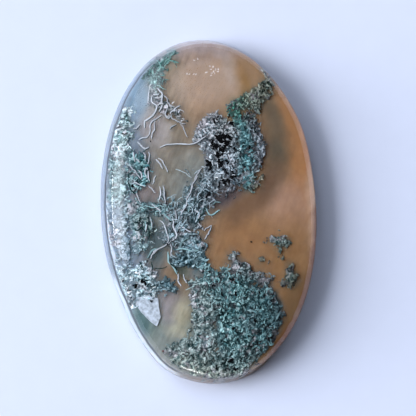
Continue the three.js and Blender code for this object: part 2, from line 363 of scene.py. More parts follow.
# Long threads, each as the pixels that it passes through.
PALE_THREADS = [
    [(149, 88), (148.6, 96), (147.5, 103)],
    [(152, 95), (151, 100), (153, 103), (157, 105.3), (156.4, 110), (152.8, 116), (147, 119.9),
     (144.2, 121), (144.4, 127)],
    [(161.4, 115), (157, 118), (153.4, 120), (151.3, 124.4), (150.9, 131.3), (149, 135), (145.6, 138)],
    [(154.4, 121), (154.8, 128.3), (152.4, 133.2), (151.7, 138.4)],
    [(138.3, 139.4), (143.2, 138.2), (146, 136.6)],
    [(133.3, 128.3), (136.7, 127.5), (139.4, 124.4)],
    [(137.5, 141.7), (140.6, 144.7), (144, 148.4), (148.3, 146.9)],
    [(153.2, 93.8), (155.7, 94.5), (158.8, 93.2)],
    [(157.2, 87.6), (160.7, 91.1), (161.8, 94.5), (161.2, 99), (162, 106), (159, 111)],
    [(163.7, 94.9), (166.4, 98), (167.4, 101.6), (170, 104.7), (172.8, 106)],
    [(180, 105.4), (175.6, 107.9), (172.5, 111), (170, 113)],
    [(180.6, 108.8), (179, 112.7)],
    [(170.6, 112.5), (171.8, 117.9), (176, 120.5), (182, 123), (185.2, 123.6)],
    [(180.2, 123.4), (184, 127), (186, 131), (187.8, 137)],
    [(176, 124.4), (172.9, 126.7), (169.9, 128.6)],
    [(167, 108), (165, 114), (168, 118), (171, 116)],
    [(160, 147), (170, 144), (182, 143.4), (193, 143.6), (200, 140), (206, 136)],
    [(125.7, 162.6), (130.7, 166.8), (136.1, 172.6), (140.9, 179.3)],
    [(143, 152.3), (145.4, 156.1), (144.9, 161.5)],
    [(148.3, 151.9), (149.2, 156.5), (148.3, 161.5), (147.4, 165.5)],
    [(149.3, 181), (147.6, 175.6), (148.1, 169.9), (146.4, 167.6), (144.5, 170.3), (144.9, 174.1),
     (146.8, 177.5)],
    [(133, 151.9), (133.4, 156.5), (134.8, 161.5)],
    [(136.5, 158.4), (139.3, 162)],
    [(138, 170.3), (140.7, 173.3), (141.4, 178)],
    [(131.3, 183.5), (135.3, 183.1), (139.1, 185.6), (144.7, 186.5)],
    [(132.6, 191.2), (135.2, 187.6)],
    [(155.8, 175.4), (153.7, 179.4), (152.5, 184)],
    [(156, 159.2), (159.8, 163.4), (162.7, 168.4)],
    [(158.3, 158), (162.5, 161.1), (165.9, 168), (167.5, 171.6)],
    [(148.3, 185.6), (152.5, 189.4), (155.4, 192.8)],
    [(136.5, 192.8), (138, 197.8), (140.5, 203)],
    [(159.8, 186.3), (160, 194.8), (159, 200)],
    [(162.9, 185.6), (164.4, 189.4), (164.8, 196.7), (165.2, 203)],
    [(159.8, 220.7), (162.9, 222.4), (165.2, 227.6), (167.6, 233.9), (168.2, 239.8), (167.4, 243)],
    [(174.9, 210.5), (175.7, 214.9), (175.5, 220.5)],
    [(172.4, 219), (173.4, 222.3), (172, 226.5), (174.9, 231.5), (175.9, 235.6), (174, 239.6),
     (170.4, 241.2)],
    [(178.4, 228.3), (182.8, 227.1), (186.5, 229.6), (191, 232.1)],
    [(150, 217), (151.9, 221.5), (152.3, 227.6)],
    [(152.3, 204), (158.3, 209.3), (161, 212)],
    [(153, 254.2), (157.5, 249.7), (163.7, 246), (169.9, 242.5)],
    [(170.7, 243.9), (171.6, 248), (171.1, 256)],
    [(204.3, 230.8), (208, 228.1), (211.8, 225.3)],
    [(211.6, 226.2), (209.3, 231.5), (207.2, 234.2), (204.9, 239.2)],
    [(195.4, 210.5), (199.4, 213), (199.2, 216.2), (195.4, 222)],
    [(198, 223), (201.6, 226), (203.6, 230)],
    [(146.4, 224.3), (146.4, 228), (144.7, 232.4)],
    [(155.5, 249.5), (152.5, 254), (150, 259)],
    [(178.6, 274), (178, 281), (181, 286)],
    [(183.5, 274.5), (184.6, 279.5), (187, 283)],
    [(187, 199), (186, 206), (182, 213), (181, 219)],
    [(193, 186), (190, 193), (186.5, 200)],
    [(197.5, 176), (194, 183), (191.4, 190)],
    [(202, 168), (197, 176), (194.6, 181)],
]
MINT_THREADS = [
    [(145, 231), (145.4, 226), (144.6, 221)],
    [(151, 219), (151.4, 225), (150.6, 230)],
    [(139, 208), (146, 206), (153, 208), (160, 206), (167, 207)],
    [(155, 212), (161, 211), (166, 215), (171, 221)],
    [(147, 258), (150, 254), (153, 250), (157, 249)],
    [(168, 252), (169, 260), (174, 267), (177, 274)],
    [(176, 250), (184, 249), (192, 251), (199, 250)],
    [(180, 246), (184, 241), (189, 238)],
    [(188, 214), (189.5, 208), (193, 203), (195, 197)],
    [(206, 208), (209, 213), (213, 214), (217, 211), (220, 210)],
    [(213, 204), (217, 201.5), (221, 202)],
]
DARK_THREADS = [
    [(104.6, 158), (104, 176), (104.2, 196), (105.6, 216), (108.4, 238), (112.6, 258)],
    [(106.6, 221), (107.4, 228), (108.8, 235)],
    [(107.2, 223), (108.2, 230)],
    [(151.6, 262), (152.6, 269), (151.8, 276)],
    [(152, 268.6), (160, 268.4), (167, 266.6)],
    [(170, 263.6), (173.6, 266), (177, 270)],
    [(139.6, 262), (140.6, 266), (143, 270)],
    [(128.6, 172), (128, 182), (131, 190), (135, 194)],
    [(133, 221), (136, 224), (140, 221), (143, 218)],
    [(134, 229), (138, 231), (142, 228), (145, 232)],
    [(147.6, 226), (149.4, 233), (148.4, 239)],
    [(205, 205), (203, 213), (199, 219), (196, 224)],
    [(246, 118), (247.6, 116.6), (248, 120)],
    [(252, 127.6), (254.6, 129), (255.6, 133)],
]
PALE_THREAD = srgb(186, 192, 200)
MINT_THREAD = srgb(140, 174, 178)
DARK_THREAD = srgb(22, 48, 46)
# Painted shadow: the colour of the dark strand laid beside each pale and mint thread.
PAINTED_THREAD_SHADOW = srgb(70, 82, 84)
THREAD_WAVER = 0.5  # pixels that threads stray from their lines
THREAD_STEPS = 14

# Painted glints, as tiny pale specks near the surface over the honey window, and a grain of rust near the foot.
GLINTS = [
    (205, 73), (207.5, 71.5), (210, 69), (211, 73), (213, 67.5), (214, 70.5), (216, 68.5), (217, 71.5),
    (218.5, 70), (212, 75), (215, 74), (209, 66), (187, 74.5), (190, 73.5), (193, 74.5), (195.5, 75),
    (195, 60.5), (198, 59.5),
]
GLINT_COLOUR = srgb(226, 222, 224)
RUST = [(163.9, 351)]
RUST_COLOUR = srgb(96, 34, 30)

# The outline of a milky shard low on the left, in pixels, its thickness and how deep it lies.
SHARD = [
    (136, 298), (147, 296), (158, 298.5), (158.6, 307), (160.6, 317.5), (156.5, 327), (150, 322),
    (141, 313), (134.5, 305),
]
SHARD_THICKNESS = 0.25 * MM
SHARD_DEPTH = 0.42 * MM

SPECK_COLOUR = srgb(10, 11, 13)
RING_COLOUR = srgb(196, 204, 212)  # of the pale arcs round the larger specks
RING_FROM = 1.7
RING_ARCS = 1
RING_DEPTH = 0.07 * MM
SPECK_DEPTH = 0.03 * MM
SPECK_STEPS = 5

TILT = 0.5  # radians that a flat strand leans to a side
SIDES = 5  # round each strand
STEPS = 6  # along it
UNDERSIDE_PAINTED_SHADE = 0.4  # painted shade: how much darker a strand is below
LEAST_COVER = 0.03 * MM  # of clear stone over a strand

STREAKS = 0.22  # how much darker and paler soft streaks make the ground on the left
STREAKS_RIGHT = 0.3  # the share of them on the right
STREAKS_END = 2.0  # millimetres to the right of the middle, where their full strength ends
STREAK_SCALES = (0.35, 1.5, 1.0)  # how fine they are along and across the way that they run

# Bands that cross the wall on one side, some of them layers of the stone and some painted light and
# shade, -1 for the left and 1 for the right: their height over the back and half their thickness, how
# far up and down the stone they reach, how strong they are and their colour. In millimetres.
Band = namedtuple("Band", "name side height half top low strength colour")
BANDS = [
    Band("pale foot of the wall", -1, 1.0, 0.4, 25, -6, 0.6, srgb(146, 158, 176)),
    # Painted glow: the bright floor shining through the lower left wall.
    Band("painted glow at the foot of the wall", -1, 0.9, 0.5, -6, -25, 0.6, srgb(232, 240, 250)),
    # Painted shade: the thin dark line along the left wall, where the crown's edge looks dark.
    Band("dark line", -1, 1.80, 0.26, 25, -25, 0.95, srgb(22, 34, 38)),
    # Painted highlight: the bright streak just inside the dark line on the left.
    Band("painted highlight line", -1, 2.36, 0.17, 3.5, -8.5, 0.8, srgb(214, 224, 234)),
    Band("amber edge", 1, 2.2, 0.6, 1.0, -25, 0.85, srgb(104, 58, 18)),
]
BANDS_END = 4.0  # from the middle towards their side, where they have faded out
BANDS_FADE = 2.0
BAND_WOBBLE = 1.0

GROUND_EVEN = 4.0  # how far the light that spreads within the stone evens its shading
MOSS_EVEN = 1.5
MOSS_GAPS = 0.9  # how strong the small dark gaps in the moss are, partly the moss's own dark and partly painted shade between its curls
GAP_SHADE = (0.16, 0.25, 0.27)
SHALLOWEST = 0.35  # share of their depth at which strands lie next to the wall
WALL_SHARE = 0.35  # of the stone's height that its wall takes
STEEPEST = 0.25  # upward share of the surface's direction where moss still grows under it
LOOSE_SEED = 41


class StoneSettings(bpy.types.PropertyGroup):
    """The clear polished surface and the cloudy ground under it."""

    ground_depth: FloatProperty(
        name="Ground Depth",
        description="How far the cloudy ground lies under the polished wall and back",
        default=0.07 * MM,
        min=0.05 * MM,
        max=2 * MM,
        subtype="DISTANCE",
        unit="LENGTH",
    )
    crown_depth: FloatProperty(
        name="Crown Depth",
        description="How much deeper the ground lies under the top of the crown",
        default=0.9 * MM,
        min=0,
        max=2 * MM,
        subtype="DISTANCE",
        unit="LENGTH",
    )
    honey: FloatVectorProperty(
        name="Honey",
        description="Colour of the ground where no cloud lies",
        default=srgb(146, 118, 90),
        size=3,
        min=0,
        max=1,
        subtype="COLOR",
    )


class MossSettings(bpy.types.PropertyGroup):
    """The moss in the stone."""

    fullness: FloatProperty(
        name="Fullness",
        description="Strands in each bed, as a share of the usual number",
        default=1.0,
        min=0.1,
        max=2.0,
        subtype="FACTOR",
    )
    seed: IntProperty(name="Seed", description="Another seed grows other strands", default=7, min=0)


class StageSettings(bpy.types.PropertyGroup):
    """The floor and the light."""

    floor_colour: FloatVectorProperty(
        name="Floor",
        description="Colour of the floor",
        default=srgb(222, 228, 246),
        size=3,
        min=0,
        max=1,
        subtype="COLOR",
    )
    key_power: FloatProperty(
        name="Key Light",
        description="Power of the soft lamp on the left",
        default=18.0,
        min=0,
        max=200,
        unit="POWER",
    )
    inner_power: FloatProperty(
        name="Inner Light",
        description="Power of the light that bends into the stone",
        default=12.5,
        min=0,
        max=200,
        unit="POWER",
    )


def deselect_all():
    for thing in bpy.context.view_layer.objects:
        thing.select_set(False)


def make_active(piece):
    deselect_all()
    piece.select_set(True)
    bpy.context.view_layer.objects.active = piece


def belongs(piece):
    """The piece moves with the stone."""
    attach(piece, BODY)


def stone_copy(name, cuts):
    """A closed copy of the stone as ground, smooth all over, with its faces cut finer."""
    piece = bpy.data.objects.new(name, frame["nodes"][STONE].data.copy())
    bpy.context.scene.collection.objects.link(piece)
    make_active(piece)
    piece.data.materials.clear()
    bpy.ops.object.mode_set(mode="EDIT")
    bpy.ops.mesh.select_all(action="SELECT")
    bpy.ops.mesh.remove_doubles(threshold=0.001 * MM)
    bpy.ops.mesh.normals_make_consistent(inside=False)
    bpy.ops.mesh.tris_convert_to_quads()
    if cuts:
        bpy.ops.mesh.subdivide(number_cuts=cuts)
    bpy.ops.object.mode_set(mode="OBJECT")
    bpy.ops.object.shade_smooth()
    return piece


def camera_place():
    """Where the camera stands and how it is turned, as one matrix."""
    level = math.cos(VIEW_ELEVATION)
    back = Vector((
        math.sin(VIEW_AZIMUTH) * level,
        -math.cos(VIEW_AZIMUTH) * level,
        math.sin(VIEW_ELEVATION),
    ))
    up = Vector((0, 1, 0))
    up = (up - back * up.dot(back)).normalized()
    right = up.cross(back)
    turned = Matrix((right, up, back)).transposed().to_4x4()
    roll = Matrix.Rotation(VIEW_ROLL, 4, "Z")
    return Matrix.Translation(VIEW_MIDDLE + back * VIEW_DISTANCE) @ turned @ roll


def crown_share(height):
    """How far up the crown a height is: 0 at the top of the wall, rising soon to 1 on the crown."""
    wall_top = WALL_SHARE * CROWN_TOP
    share = min(1, max(0, 1.4 * (height - wall_top) / (CROWN_TOP - wall_top)))
    return math.sin(share * math.pi / 2)


class Surface:
    """The polished surface, for finding places on it and under it."""

    def __init__(self):
        stone = frame["nodes"][STONE]
        corners = [v.co.copy() for v in stone.data.vertices]
        faces = [tuple(p.vertices) for p in stone.data.polygons]
        self.tree = BVHTree.FromPolygons(corners, faces)
        self.camera = camera_place()

    def seen_at(self, x, y, depth=0):
        """The point that far under the surface, square to it, at a pixel of the photograph."""
        across = (x / PICTURE - 0.5) * VIEW_WIDTH
        upward = (0.5 - y / PICTURE) * VIEW_WIDTH
        eye = self.camera.translation
        direction = (self.camera.to_3x3() @ Vector((across, upward, -VIEW_DISTANCE))).normalized()
        place, normal, _, _ = self.tree.ray_cast(eye, direction)
        if place is None:  # just past the edge
            return eye + direction * ((EDGE_HEIGHT - eye.z) / direction.z)
        return place - normal * depth

    def between(self, x, y, share, settings):
        """The point below a place on the crown, at a share of the way down to the ground."""
        place, normal, _, _ = self.tree.ray_cast(Vector((x, y, 1)), Vector((0, 0, -1)))
        if place is None or normal.z < STEEPEST:
            return None
        down = settings.ground_depth / normal.z + settings.crown_depth * crown_share(place.z)
        return place.x, place.y, place.z - share * down

    def under(self, x, y, depth):
        """The point that far under the surface, below a place on the crown, or None past the edge."""
        place, normal, _, _ = self.tree.ray_cast(Vector((x, y, 1)), Vector((0, 0, -1)))
        if place is None or normal.z < STEEPEST:
            return None
        room = max(SHALLOWEST, crown_share(place.z) * normal.z)  # less deep near the wall
        return place - normal * depth * room


def node(tree, kind, **values):
    """A shader node, with its properties and the plain values of its inputs."""
    made = tree.nodes.new(kind)
    for name, value in values.items():
        if name.startswith("in_"):
            made.inputs[name[3:].replace("_", " ").title()].default_value = value
        else:
            setattr(made, name, value)
    return made


def socket(group, name, kind, output=False, default=None):
    made = group.interface.new_socket(
        name=name, in_out="OUTPUT" if output else "INPUT", socket_type="NodeSocket" + kind
    )
    if default is not None:
        made.default_value = default


def cloud_group():
    """A soft-edged oval mask: 1 inside a cloud and 0 outside it."""
    group = bpy.data.node_groups.get("Cloud")
    if group:
        return group
    group = bpy.data.node_groups.new("Cloud", "ShaderNodeTree")
    socket(group, "Place", "Vector")
    socket(group, "Middle", "Vector")
    socket(group, "Reach", "Vector")
    socket(group, "Turn", "Float")
    socket(group, "Edge", "Float", default=0.5)
    socket(group, "Strength", "Float", default=1.0)
    socket(group, "Mask", "Float", output=True)
    link = group.links.new
    given = group.nodes.new("NodeGroupInput")
    result = group.nodes.new("NodeGroupOutput")
    away = node(group, "ShaderNodeVectorMath", operation="SUBTRACT")
    turned = node(group, "ShaderNodeVectorRotate", rotation_type="Z_AXIS")
    shares = node(group, "ShaderNodeVectorMath", operation="DIVIDE")
    length = node(group, "ShaderNodeVectorMath", operation="LENGTH")
    outer = node(group, "ShaderNodeMath", operation="ADD")
    outer.inputs[0].default_value = 1
    inner = node(group, "ShaderNodeMath", operation="SUBTRACT")
    inner.inputs[0].default_value = 1
    mask = node(group, "ShaderNodeMapRange", interpolation_type="SMOOTHSTEP")
    link(given.outputs["Place"], away.inputs[0])
    link(given.outputs["Middle"], away.inputs[1])
    link(away.outputs[0], turned.inputs["Vector"])
    link(given.outputs["Turn"], turned.inputs["Angle"])
    link(turned.outputs[0], shares.inputs[0])
    link(given.outputs["Reach"], shares.inputs[1])
    link(shares.outputs[0], length.inputs[0])
    link(given.outputs["Edge"], outer.inputs[1])
    link(given.outputs["Edge"], inner.inputs[1])
    link(length.outputs["Value"], mask.inputs["Value"])
    link(outer.outputs[0], mask.inputs["From Min"])
    link(inner.outputs[0], mask.inputs["From Max"])
    link(given.outputs["Strength"], mask.inputs["To Max"])
    link(mask.outputs[0], result.inputs["Mask"])
    return group


def wobble_group():
    """Places shaken by noise, so that what is drawn on them has ragged edges."""
    group = bpy.data.node_groups.get("Wobble")
    if group:
        return group
    group = bpy.data.node_groups.new("Wobble", "ShaderNodeTree")
    socket(group, "Place", "Vector")
    socket(group, "Amount", "Float", default=1.0)
    socket(group, "Scale", "Float", default=1.0)
    socket(group, "Shaken", "Vector", output=True)
    link = group.links.new
    given = group.nodes.new("NodeGroupInput")
    result = group.nodes.new("NodeGroupOutput")
    grain = node(group, "ShaderNodeTexNoise", noise_dimensions="3D", in_detail=3.0, in_roughness=0.55)
    centred = node(group, "ShaderNodeVectorMath", operation="SUBTRACT")
    centred.inputs[1].default_value = (0.5, 0.5, 0.5)
    scaled = node(group, "ShaderNodeVectorMath", operation="SCALE")
    shaken = node(group, "ShaderNodeVectorMath", operation="ADD")
    link(given.outputs["Place"], grain.inputs["Vector"])
    link(given.outputs["Scale"], grain.inputs["Scale"])
    link(grain.outputs["Color"], centred.inputs[0])
    link(centred.outputs[0], scaled.inputs[0])
    link(given.outputs["Amount"], scaled.inputs["Scale"])
    link(given.outputs["Place"], shaken.inputs[0])
    link(scaled.outputs[0], shaken.inputs[1])
    link(shaken.outputs[0], result.inputs["Shaken"])
    return group


def evened_group():
    """The surface's direction turned towards the top of the stone, where light from within evens it."""
    group = bpy.data.node_groups.get("Evened Light")
    if group:
        return group
    group = bpy.data.node_groups.new("Evened Light", "ShaderNodeTree")
    socket(group, "Amount", "Float", default=1.0)
    socket(group, "Normal", "Vector", output=True)
    link = group.links.new
    given = group.nodes.new("NodeGroupInput")
    result = group.nodes.new("NodeGroupOutput")
    own = group.nodes.new("ShaderNodeTexCoord").outputs["Normal"]
    split = group.nodes.new("ShaderNodeSeparateXYZ")
    upward = node(group, "ShaderNodeMath", operation="MULTIPLY", use_clamp=False)
    facing = node(group, "ShaderNodeMath", operation="MAXIMUM")
    facing.inputs[1].default_value = 0
    lift = group.nodes.new("ShaderNodeCombineXYZ")
    turned = node(group, "ShaderNodeVectorMath", operation="ADD")
    whole = node(group, "ShaderNodeVectorMath", operation="NORMALIZE")
    outward = node(
        group, "ShaderNodeVectorTransform", vector_type="NORMAL",
        convert_from="OBJECT", convert_to="WORLD",
    )
    link(own, split.inputs[0])
    link(split.outputs["Z"], facing.inputs[0])
    link(facing.outputs[0], upward.inputs[0])
    link(given.outputs["Amount"], upward.inputs[1])
    link(upward.outputs[0], lift.inputs["Z"])
    link(own, turned.inputs[0])
    link(lift.outputs[0], turned.inputs[1])
    link(turned.outputs[0], whole.inputs[0])
    link(whole.outputs[0], outward.inputs[0])
    link(outward.outputs[0], result.inputs["Normal"])
    return group


def grouped(tree, group, **values):
    """A placed node group with its values."""
    made = tree.nodes.new("ShaderNodeGroup")
    made.node_tree = group
    for name, value in values.items():
        made.inputs[name.title()].default_value = value
    return made


def new_material(name):
    """A material, its tree, its Principled shader, and the place on the piece in millimetres."""
    material = bpy.data.materials.new(name)
    material.use_nodes = True
    tree = material.node_tree
    shader = tree.nodes["Principled BSDF"]
    coordinates = tree.nodes.new("ShaderNodeTexCoord")
    place = node(tree, "ShaderNodeVectorMath", operation="SCALE")
    place.inputs["Scale"].default_value = 1 / MM
    tree.links.new(coordinates.outputs["Object"], place.inputs[0])
    return material, tree, shader, place.outputs[0]


def mixed(tree, below, colour, factor, blend="MIX"):
    """A colour laid over another by a factor. Each is a socket or a plain value."""
    mix = node(tree, "ShaderNodeMix", data_type="RGBA", blend_type=blend)
    for index, value in ((0, factor), (6, below), (7, colour)):
        if isinstance(value, bpy.types.NodeSocket):
            tree.links.new(value, mix.inputs[index])
        else:
            mix.inputs[index].default_value = value if index == 0 else (*value, 1)
    return mix.outputs[2]


def varied(tree, place, colour, scale, least, most, detail=3.0):
    """A colour made darker and lighter by noise."""
    grain = node(tree, "ShaderNodeTexNoise", in_scale=scale, in_detail=detail, in_roughness=0.6)
    tree.links.new(place, grain.inputs["Vector"])
    level = node(tree, "ShaderNodeMapRange", in_from_min=0.3, in_from_max=0.7)
    level.inputs["To Min"].default_value = least
    level.inputs["To Max"].default_value = most
    tree.links.new(grain.outputs[0], level.inputs["Value"])
    return mixed(tree, colour, level.outputs[0], 1.0, "MULTIPLY")


def streaked(tree, place, colour):
    """A colour with soft streaks along the way that the threads run, strongest on the left."""
    turned = node(tree, "ShaderNodeVectorRotate", rotation_type="Z_AXIS")
    turned.inputs["Angle"].default_value = -FLOW
    drawn = node(tree, "ShaderNodeVectorMath", operation="MULTIPLY")
    drawn.inputs[1].default_value = STREAK_SCALES
    tree.links.new(place, turned.inputs["Vector"])
    tree.links.new(turned.outputs[0], drawn.inputs[0])
    streaks = varied(tree, drawn.outputs[0], colour, 1.0, 1 - STREAKS, 1 + STREAKS, 5.0)
    split = tree.nodes.new("ShaderNodeSeparateXYZ")
    tree.links.new(place, split.inputs[0])
    share = faded(tree, split.outputs["X"], STREAKS_END, STREAKS_END - 5)
    calm = mixed(tree, colour, streaks, STREAKS_RIGHT)
    return mixed(tree, calm, streaks, share)


def cloud_on_stone(surface, cloud):
    """A cloud's middle, half sizes and turn on the stone, in millimetres and radians."""
    place = surface.seen_at(*cloud.middle) / MM
    scale = PIXEL / MM
    return (
        (place.x, place.y, 0),
        (cloud.reach[0] * scale, cloud.reach[1] * scale, 1e3),
        math.radians(cloud.turn) - VIEW_ROLL,
    )


def faded(tree, value, ends, starts):
    """A factor of 1 on the far side of where it starts and 0 on this side of where it ends."""
    made = node(tree, "ShaderNodeMapRange", interpolation_type="SMOOTHSTEP")
    made.inputs["From Min"].default_value = ends
    made.inputs["From Max"].default_value = starts
    tree.links.new(value, made.inputs["Value"])
    return made.outputs[0]


def times(tree, first, second):
    made = node(tree, "ShaderNodeMath", operation="MULTIPLY")
    for index, value in enumerate((first, second)):
        if isinstance(value, bpy.types.NodeSocket):
            tree.links.new(value, made.inputs[index])
        else:
            made.inputs[index].default_value = value
    return made.outputs[0]


def banded(tree, shaken, colour, band):
    """A colour with a band over it that crosses the wall on one side. Some bands are layers of the stone, others
    painted light and shade.
    """
    split = tree.nodes.new("ShaderNodeSeparateXYZ")
    tree.links.new(shaken, split.inputs[0])
    height = node(tree, "ShaderNodeMath", operation="SUBTRACT")
    height.inputs[1].default_value = band.height
    away = node(tree, "ShaderNodeMath", operation="ABSOLUTE")
    tree.links.new(split.outputs["Z"], height.inputs[0])
    tree.links.new(height.outputs[0], away.inputs[0])
    share = faded(tree, away.outputs[0], band.half * 1.5, band.half * 0.5)
    ends, starts = band.side * BANDS_END, band.side * (BANDS_END + BANDS_FADE)
    share = times(tree, share, faded(tree, split.outputs["X"], ends, starts))
    share = times(tree, share, faded(tree, split.outputs["Y"], band.top, band.top - BANDS_FADE))
    share = times(tree, share, faded(tree, split.outputs["Y"], band.low, band.low + BANDS_FADE))
    return mixed(tree, colour, band.colour, times(tree, share, band.strength))


def ground_material(surface, honey):
    """Cloudy chalcedony: honey with soft clouds, some of them painted shade and glow, stains of moss that lie too
    deep to see well, and bands over the wall, some of them painted light and shade.
    """
    material, tree, shader, place = new_material("Cloudy Chalcedony")
    link = tree.links.new
    soft = grouped(tree, wobble_group(), amount=2.4, scale=0.25)
    link(place, soft.inputs["Place"])
    colour = honey
    for cloud in CLOUDS:
        middle, reach, turn = cloud_on_stone(surface, cloud)
        mask = grouped(
            tree, cloud_group(), middle=middle, reach=reach, turn=turn,
            edge=cloud.edge, strength=cloud.strength,
        )
        link(soft.outputs[0], mask.inputs["Place"])
        colour = mixed(tree, colour, cloud.colour, mask.outputs[0])
    colour = varied(tree, place, colour, 0.8, 0.9, 1.08, 5.0)
    colour = streaked(tree, place, colour)
    stain = node(tree, "ShaderNodeAttribute", attribute_name="stain")
    share = node(tree, "ShaderNodeAttribute", attribute_name="stain_share")
    squiggles = varied(tree, place, stain.outputs["Color"], 1.8, 0.6, 1.25, 4.0)
    colour = mixed(tree, colour, squiggles, share.outputs["Fac"])
    slight = grouped(tree, wobble_group(), amount=BAND_WOBBLE, scale=0.3)
    link(place, slight.inputs["Place"])
    for band in BANDS:
        colour = banded(tree, slight.outputs[0], colour, band)
    link(colour, shader.inputs["Base Color"])
    link(grouped(tree, evened_group(), amount=GROUND_EVEN).outputs[0], shader.inputs["Normal"])
    shader.inputs["Roughness"].default_value = 0.6
    shader.inputs["Specular IOR Level"].default_value = 0
    shader.inputs["Subsurface Weight"].default_value = 1
    shader.inputs["Subsurface Radius"].default_value = (1, 0.7, 0.5)
    shader.inputs["Subsurface Scale"].default_value = 1.5 * MM
    return material


def gaps_group():
    """A mask for the small dark gaps between curls of moss: 1 in a gap and 0 outside it."""
    group = bpy.data.node_groups.get("Moss Gaps")
    if group:
        return group
    group = bpy.data.node_groups.new("Moss Gaps", "ShaderNodeTree")
    socket(group, "Place", "Vector")
    socket(group, "Scale", "Float", default=1.0)
    socket(group, "Reach", "Float", default=0.4)
    socket(group, "Strength", "Float", default=1.0)
    socket(group, "Mask", "Float", output=True)
    link = group.links.new
    given = group.nodes.new("NodeGroupInput")
    result = group.nodes.new("NodeGroupOutput")
    grain = node(group, "ShaderNodeTexNoise", in_detail=1.5, in_roughness=0.5, in_distortion=0.6)
    mask = node(group, "ShaderNodeMapRange", interpolation_type="SMOOTHSTEP")
    inner = node(group, "ShaderNodeMath", operation="SUBTRACT")
    inner.inputs[1].default_value = 0.1
    link(given.outputs["Place"], grain.inputs["Vector"])
    link(given.outputs["Scale"], grain.inputs["Scale"])
    link(grain.outputs[0], mask.inputs["Value"])
    link(given.outputs["Reach"], mask.inputs["From Min"])
    link(given.outputs["Reach"], inner.inputs[0])
    link(inner.outputs[0], mask.inputs["From Max"])
    link(given.outputs["Strength"], mask.inputs["To Max"])
    link(mask.outputs[0], result.inputs["Mask"])
    return group


def strand_material(name, gaps=0.0):
    """Moss: each strand's own tint, darker and paler along the stone, with small dark gaps."""
    material, tree, shader, place = new_material(name)
    link = tree.links.new
    tint = node(tree, "ShaderNodeAttribute", attribute_name="tint")
    colour = varied(tree, place, tint.outputs["Color"], 0.7, 0.78, 1.2)
    colour = varied(tree, place, colour, 4.0, 0.88, 1.12)
    if gaps:
        mask = grouped(tree, gaps_group(), scale=2.6, reach=0.485, strength=gaps)
        link(place, mask.inputs["Place"])
        darker = mixed(tree, colour, GAP_SHADE, 1.0, "MULTIPLY")
        colour = mixed(tree, colour, darker, mask.outputs[0])
    link(colour, shader.inputs["Base Color"])
    link(grouped(tree, evened_group(), amount=MOSS_EVEN).outputs[0], shader.inputs["Normal"])
    shader.inputs["Roughness"].default_value = 0.6
    shader.inputs["Specular IOR Level"].default_value = 0.05
    return material


def polish_material():
    """Clear polished chalcedony. Lamps reach through it, as they do through the real stone's skin."""
    material, tree, shader, place = new_material("Clear Polished Chalcedony")
    link = tree.links.new
    shader.inputs["Base Color"].default_value = (0.985, 0.985, 1, 1)
    grain = node(tree, "ShaderNodeTexNoise", in_scale=0.9, in_detail=4.0)
    link(place, grain.inputs["Vector"])
    worn = node(tree, "ShaderNodeMapRange", in_from_min=0.35, in_from_max=0.75)
    worn.inputs["To Min"].default_value = 0.03
    worn.inputs["To Max"].default_value = 0.07
    link(grain.outputs[0], worn.inputs["Value"])
    link(worn.outputs[0], shader.inputs["Roughness"])
    shader.inputs["IOR"].default_value = 1.54
    shader.inputs["Transmission Weight"].default_value = 1
    path = tree.nodes.new("ShaderNodeLightPath")
    open_way = tree.nodes.new("ShaderNodeBsdfTransparent")
    mix = tree.nodes.new("ShaderNodeMixShader")
    link(path.outputs["Is Shadow Ray"], mix.inputs[0])
    link(shader.outputs[0], mix.inputs[1])
    link(open_way.outputs[0], mix.inputs[2])
    link(mix.outputs[0], tree.nodes["Material Output"].inputs["Surface"])
    return material


def spine_on_stone(surface, spine):
    """A bed's spine as places on the stone, each with the half width there, in metres."""
    rows = []
    for x, y, reach in spine:
        place = surface.seen_at(x, y)
        rows.append((place.x, place.y, reach * PIXEL))
    return np.array(rows)


def past_edge(spine, places):
    """How far each place lies outside a bed, in metres. It is below 0 inside."""
    nearest = np.full(len(places), np.inf)
    for first, second in zip(spine, spine[1:]):
        along = second[:2] - first[:2]
        share = np.clip((places - first[:2]) @ along / (along @ along), 0, 1)
        middle = first[:2] + share[:, None] * along
        width = first[2] + share * (second[2] - first[2])
        nearest = np.minimum(nearest, np.linalg.norm(places - middle, axis=1) - width)
    return nearest


def ragged(places, seed, scale=0.6):
    """Noise at places on the stone, about -1 to 1."""
    size = scale / MM
    return np.array([noise.fractal((x * size, y * size, seed), 0.8, 2.0, 4) for x, y in places])


def stain_ground(ground, surface):
    """Gives the ground's corners the stain of the beds over them, and how strong it is."""
    corners = np.array([v.co for v in ground.data.vertices])[:, :2]
    colours = np.ones((len(corners), 4))
    clear = np.ones(len(corners))
    total = np.zeros(len(corners))
    colours[:, :3] = 0
    uneven = ragged(corners, 3.5)
    for bed in BEDS:
        gap = past_edge(spine_on_stone(surface, bed.spine), corners) / MM + 0.7 * uneven
        share = np.clip(0.5 - gap / 1.4, 0, 1) ** 2 * min(1, bed.mass / 12)
        deep = np.array(bed.tint.dark) * 0.35 + np.array(bed.tint.haze) * 0.65
        colours[:, :3] += deep * share[:, None]
        total += share
        clear *= 1 - share
    colours[:, :3] /= np.maximum(total, 1e-6)[:, None]
    stain = ground.data.attributes.new("stain", "FLOAT_COLOR", "POINT")
    stain.data.foreach_set("color", colours.ravel())
    share = ground.data.attributes.new("stain_share", "FLOAT", "POINT")
    share.data.foreach_set("value", 1 - clear)


